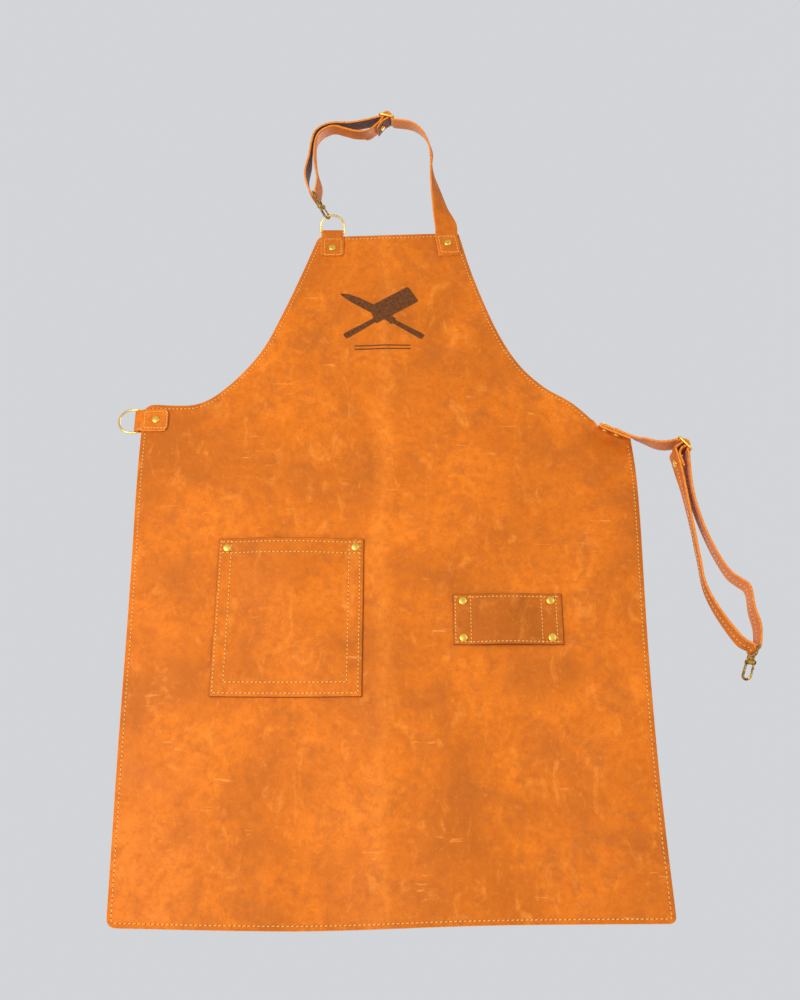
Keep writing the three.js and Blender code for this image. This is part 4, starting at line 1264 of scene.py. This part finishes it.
def edgewise(*places):
    return [(Vector((x, -STRAP_WIDTH / 2, z)), Y) for x, z in places]


def leaning(*places):
    """As edgewise, with the far side leaning out by the third number, in degrees."""
    return [(Vector((x, -STRAP_WIDTH / 2, z)), on_edge(0, lean)) for x, z, lean in places]


waist_end_half = fold_length / 2 - 1
WAIST_PATH = [
    (fold_point(-waist_end_half, STRAP_SEAT), flap_across),
    (fold_point(0, STRAP_SEAT), flap_across),
    (fold_point(waist_end_half, STRAP_SEAT), flap_across),
    (fold_point(waist_end_half + 6.5, STRAP_SEAT), flap_across),
    from_near_edge(310.7, 555.3, on_edge(68, 17)),
    from_near_edge(328.8, 550.9, on_edge(75, 9)),
    from_near_edge(341.7, 551.7, on_edge(80, 3)),
    *reversed(waist_slide.through(PASSING)),
    *edgewise((363.4, 521)),
    *leaning((365.4, 484, 5), (374.4, 442.3, 10), (388, 404.2, 10), (399.4, 384, 8), (409, 376, 6),
             (417.6, 368.5, 5), (419.8, 342.1, 3)),
    *edgewise((423.4, 320)),
    *round_eye(waist_eye_bar, waist_hook_up, Y, 360, 180),
    *edgewise((404, 303.5)),
    *leaning((393.5, 317.5, 3), (377.5, 346, 7), (368.5, 371, 10), (365.5, 401.7, 10), (361, 454, 10),
             (356.2, 497, 5)),
    waist_tail(10, 0),
    waist_tail(0, 0),
    waist_tail(-8, 0),
    *edgewise((348.6, 543.5), (352.4, 546.6)),
    *waist_slide.through(WRAP),
    *edgewise((356.4, 543.2)),
    waist_tail(-8, TAIL_OFFSET + 0.2),
    waist_tail(0, TAIL_OFFSET),
    waist_tail(10, TAIL_OFFSET + 0.5),
]


# Past this length the neck strap's inner face gets the dark flesh, painted shade inside the doubled loop.
NECK_NAP_UNTIL = 262


def build_neck_strap():
    strap = Strap(NECK_PATH)
    made = Build().add(strap.shell(False, NECK_NAP_UNTIL)).make(
        "neck_strap_leather", [STRAP_GRAIN, STRAP_FLESH_PAINTED_SHADE, EDGE, STRAP_NAP], 50)
    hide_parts("neck_strap", "neck_strap_end")
    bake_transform(made)
    corners = [(93.2, 843), (88.8, 868.5), (66.5, 868.5), (70.5, 843)]
    rows = [[a, b] for a, b in zip(corners, corners[1:] + corners[:1])]
    surface = lambda x, z: (Vector((x, STRAP_END_Y - STRAP_THICK / 2, z)), FRONT.copy())
    sew("neck_end_stitch", "apron", rows, surface, TAB_STITCH_PITCH)


def build_waist_strap():
    strap = Strap(WAIST_PATH)
    made = Build().add(strap.shell(True, strap.length)).make(
        "waist_strap_leather", [STRAP_GRAIN, STRAP_FLESH_PAINTED_SHADE, EDGE, STRAP_NAP], 50)
    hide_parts("waist_strap", "waist_strap_end")
    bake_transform(made)
    threads, holes = Build(), Build()
    for side in (-1, 1):
        strap.sew(threads, holes, 0, side, 135, strap.length - 70)
    dressed(threads.make("waist_strap_thread", [THREAD]), "waist_tie", "leather")
    dressed(holes.make("waist_strap_holes", [HOLE_SHADE]), "waist_tie", "leather")


# ================= snap hooks =================

def turned_y(shell):
    """Turns a shell built on local z onto local y."""
    return ([Vector((p.x, p.z, -p.y)) for p in shell[0]], *shell[1:])


def moved(shell, by):
    return ([p + Vector(by) for p in shell[0]], *shell[1:])


BARREL_RADIUS = 3.5
BARREL_HALF_HEIGHT = 2.5
STEM_RADIUS = 1.5
STEM_BORE = 1.6
STEM_HIGH = 3.8
STEM_LOW = -4
HEAD_RADIUS = 2.6
HEAD_THICK = 1.4
HEAD_BASE = 2.8
SHOULDER = (13, 5, 5)
SHOULDER_MIDDLE = (0, 0, -5.5)
LIMB_TOP = -7
LIMB_STEPS = 8
LIMB_TIP_RADIUS = 1.3
GATE_SLOT = (6, 2.6, 6)
GATE_SLOT_MIDDLE = (5, 0, -6.8)
GATE_THICK = 1.9
KNUCKLE_RADIUS = 1.6
SPUR = (1.5, 1.7, 2.6)
PIN_RADIUS = 0.84
PIN_HALF_LENGTH = 2.4


def build_eye(name, node, body, origin, axes):
    half = HOOK_EYE_HEIGHT / 2
    hoop = wire_frame(half, HOOK_EYE_HALF_WIDTH, EYE_CORNER, HOOK_WIRE)
    upright = ([Vector((p.y, p.z, p.x + half)) for p in hoop[0]], hoop[1])
    barrel = round_bar(BARREL_RADIUS, -BARREL_HALF_HEIGHT, BARREL_HALF_HEIGHT, 0.6, 32)
    shell = booled([upright, barrel], [round_bar(STEM_BORE, -4, 4, 0.1, 32)])
    made = Build().add(placed(shell, origin, *axes)).make(name, [ANTIQUE])
    dressed(made, body, "brass", node)


def build_hook(prefix, node, body, gate_body, origin, axes):
    """The hook with its stem, the sprung gate lever and the gate's pin."""
    bend = -HOOK_LENGTH + HOOK_WIRE + HOOK_HALF_WIDTH
    x, z = GATE_PIVOT
    path = [(-HOOK_HALF_WIDTH, LIMB_TOP - i * (LIMB_TOP - bend) / LIMB_STEPS)
            for i in range(LIMB_STEPS)]
    path += arc(0, bend, HOOK_HALF_WIDTH, 180, 360, 24) + [(HOOK_HALF_WIDTH, TIP_HEIGHT)]
    limb = wire(path, HOOK_WIRE, False, 20, LIMB_TIP_RADIUS)
    shoulder = block(SHOULDER, SHOULDER_MIDDLE, 1.5)
    stem = round_bar(STEM_RADIUS, STEM_LOW, STEM_HIGH, 0.1, 24)
    head = moved(dome(HEAD_RADIUS, HEAD_THICK, 32), (0, 0, HEAD_BASE))
    slot = block(GATE_SLOT, GATE_SLOT_MIDDLE, 0)
    shell = booled([shoulder, limb, stem, head], [slot])
    hook = Build().add(placed(shell, origin, *axes))
    dressed(hook.make(prefix + "_hook_brass", [ANTIQUE]), body, "brass", node + "_hook")
    length = z - TIP_HEIGHT - GAP
    lever = block((GATE_THICK, GATE_THICK, length), (x, 0, z - length / 2), 0.5)
    knuckle = moved(turned_y(round_bar(KNUCKLE_RADIUS, -1, 1, 0.25, 24)), (x, 0, z))
    spur = block(SPUR, (x + 1.1, 0, z - length * 0.62), 0.6)
    gate = Build().add(placed(booled([lever, knuckle, spur]), origin, *axes))
    dressed(gate.make(prefix + "_gate_brass", [ANTIQUE]), gate_body, "brass", node + "_gate")
    pin = moved(turned_y(round_bar(PIN_RADIUS, -PIN_HALF_LENGTH, PIN_HALF_LENGTH, 0.2, 20)), (x, 0, z))
    pin_made = Build().add(placed(pin, origin, *axes)).make(prefix + "_pin_brass", [BRASS])
    dressed(pin_made, body, "brass", node + "_gate_pin")


def hook_axes(up, gate_side):
    x_axis = (gate_side - up * gate_side.dot(up)).normalized()
    return x_axis, up.cross(x_axis), up


def eye_axes(up, width):
    y_axis = (width - up * width.dot(up)).normalized()
    return y_axis.cross(up), y_axis, up


def build_hooks():
    neck_origin = neck_eye_bar - neck_hook_up * HOOK_EYE_HEIGHT
    waist_origin = waist_eye_bar - waist_hook_up * HOOK_EYE_HEIGHT
    build_eye("neck_eye_brass", "neck_eye", "neck_loop", neck_origin,
              eye_axes(neck_hook_up, neck_eye_width))
    build_hook("neck", "neck", "neck_hook_body", "neck_gate_lever", neck_origin,
               hook_axes(neck_hook_up, Vector((0.601, 0.713, 0.356))))
    build_eye("waist_eye_brass", "waist_eye", "waist_eye_loop", waist_origin,
              eye_axes(waist_hook_up, Y))
    build_hook("waist", "waist", "waist_hook_body", "waist_gate_lever", waist_origin,
               hook_axes(waist_hook_up, Vector((0.66, -0.707, -0.255))))


# ================= putting it together =================

panel_edge = build_panel()
sew_panel(panel_edge)
build_emblem()
build_pocket()
build_holder()
PATCH_FACE = -PANEL_THICK - GAP - PATCH_THICK
PATCH_GRIP = PATCH_THICK + GAP + PANEL_THICK
front_rivets("pocket_rivet", POCKET_RIVETS, PATCH_FACE, PATCH_GRIP)
front_rivets("tool_loop_rivet", HOLDER_RIVETS, PATCH_FACE, PATCH_GRIP)
front_rivets("bib_tab_rivet", [BIB_TAB_RIVET], TAB_FACE, TAB_GRIP)
front_rivets("waist_tab_rivet", [WAIST_TAB_RIVET], TAB_FACE, TAB_GRIP)
front_rivets("neck_end_rivet", [NECK_END_RIVET], STRAP_END_Y - STRAP_THICK / 2,
             STRAP_THICK + GAP + PANEL_THICK)
build_rings()

build_neck_strap()
neck_slide.build("neck_slide_brass", "neck_slide", "neck_loop")
neck_rivet_out = neck_leg(0, -1) - neck_leg(0, 0)
rivet("neck_fold_rivet", "neck_loop", neck_leg(13, -STRAP_THICK / 2), neck_rivet_out, FOLD_GRIP)

build_waist_strap()
waist_slide.build("waist_slide_brass", "waist_slide", "waist_tie")
for i, along in enumerate((-12, 3)):
    rivet(f"waist_end_rivet_{i + 1}", "apron", fold_point(along, GAP + STRAP_THICK), flap_up,
          STRAP_THICK + GAP + PANEL_THICK)
rivet("waist_fold_rivet", "waist_tie", tail_seat + tail_out * (STRAP_THICK / 2), tail_out, FOLD_GRIP)
build_hooks()


# ================= camera, light and floor =================

def aimed(location, target):
    return (Vector(target) - Vector(location)).to_track_quat("-Z", "Y")


def area_light(name, location, target, size, power, color):
    data = bpy.data.lights.new(name, "AREA")
    data.shape = "DISK"
    data.size = size
    data.energy = power
    data.color = color
    light = linked(name, data)
    light.location = location
    light.rotation_mode = "QUATERNION"
    light.rotation_quaternion = aimed(location, target)


CAMERA_LENS = 39.35
CAMERA_SENSOR = 36
CAMERA_PLACE = Vector((0.001, -1.2083, -1.0782))
CAMERA_LOOK = Vector((0, 0.9219, 0.3875))
FLOOR_HALF = 6
FLOOR_LEVEL = -1.7


def add_camera():
    """Level with the hem and tilted up, which is how the straps and the ring were seen."""
    data = bpy.data.cameras.new("camera")
    data.lens = CAMERA_LENS
    data.sensor_width = CAMERA_SENSOR
    camera = linked("camera", data)
    camera.location = CAMERA_PLACE
    camera.rotation_mode = "QUATERNION"
    camera.rotation_quaternion = aimed(CAMERA_PLACE, CAMERA_PLACE + CAMERA_LOOK)
    bpy.context.scene.camera = camera


def add_floor():
    mesh = bpy.data.meshes.new("floor")
    corners = [(-1, -1), (1, -1), (1, 1), (-1, 1)]
    mesh.from_pydata([(x * FLOOR_HALF, y * FLOOR_HALF, FLOOR_LEVEL) for x, y in corners],
                     [], [[0, 1, 2, 3]])
    graph = Graph("floor_paint")
    mottling = graph.noise(graph.position, 3, 3)
    mesh.materials.append(graph.finish(
        graph.ramp(mottling, [(0.3, (0.78, 0.78, 0.77)), (0.7, (0.82, 0.82, 0.81))]), 0.8))
    floor = linked("floor", mesh)


def add_light():
    world = bpy.data.worlds.new("pale_room")
    world.use_nodes = True
    background = world.node_tree.nodes["Background"]
    background.inputs["Color"].default_value = (0.90, 0.92, 0.95, 1)
    background.inputs["Strength"].default_value = 0.72
    bpy.context.scene.world = world
    middle = (0.03, 0, -0.55)
    area_light("key", (-1.2, -2.0, -0.85), middle, 0.9, 40, (1.0, 0.97, 0.92))
    area_light("fill", (1.6, -1.5, -0.3), middle, 1.4, 7, (0.95, 0.97, 1.0))
    area_light("behind", (0.7, 1.9, 0.5), middle, 1.4, 18, (1.0, 0.98, 0.95))


add_camera()
add_floor()
add_light()
bpy.context.scene.view_settings.view_transform = "Standard"
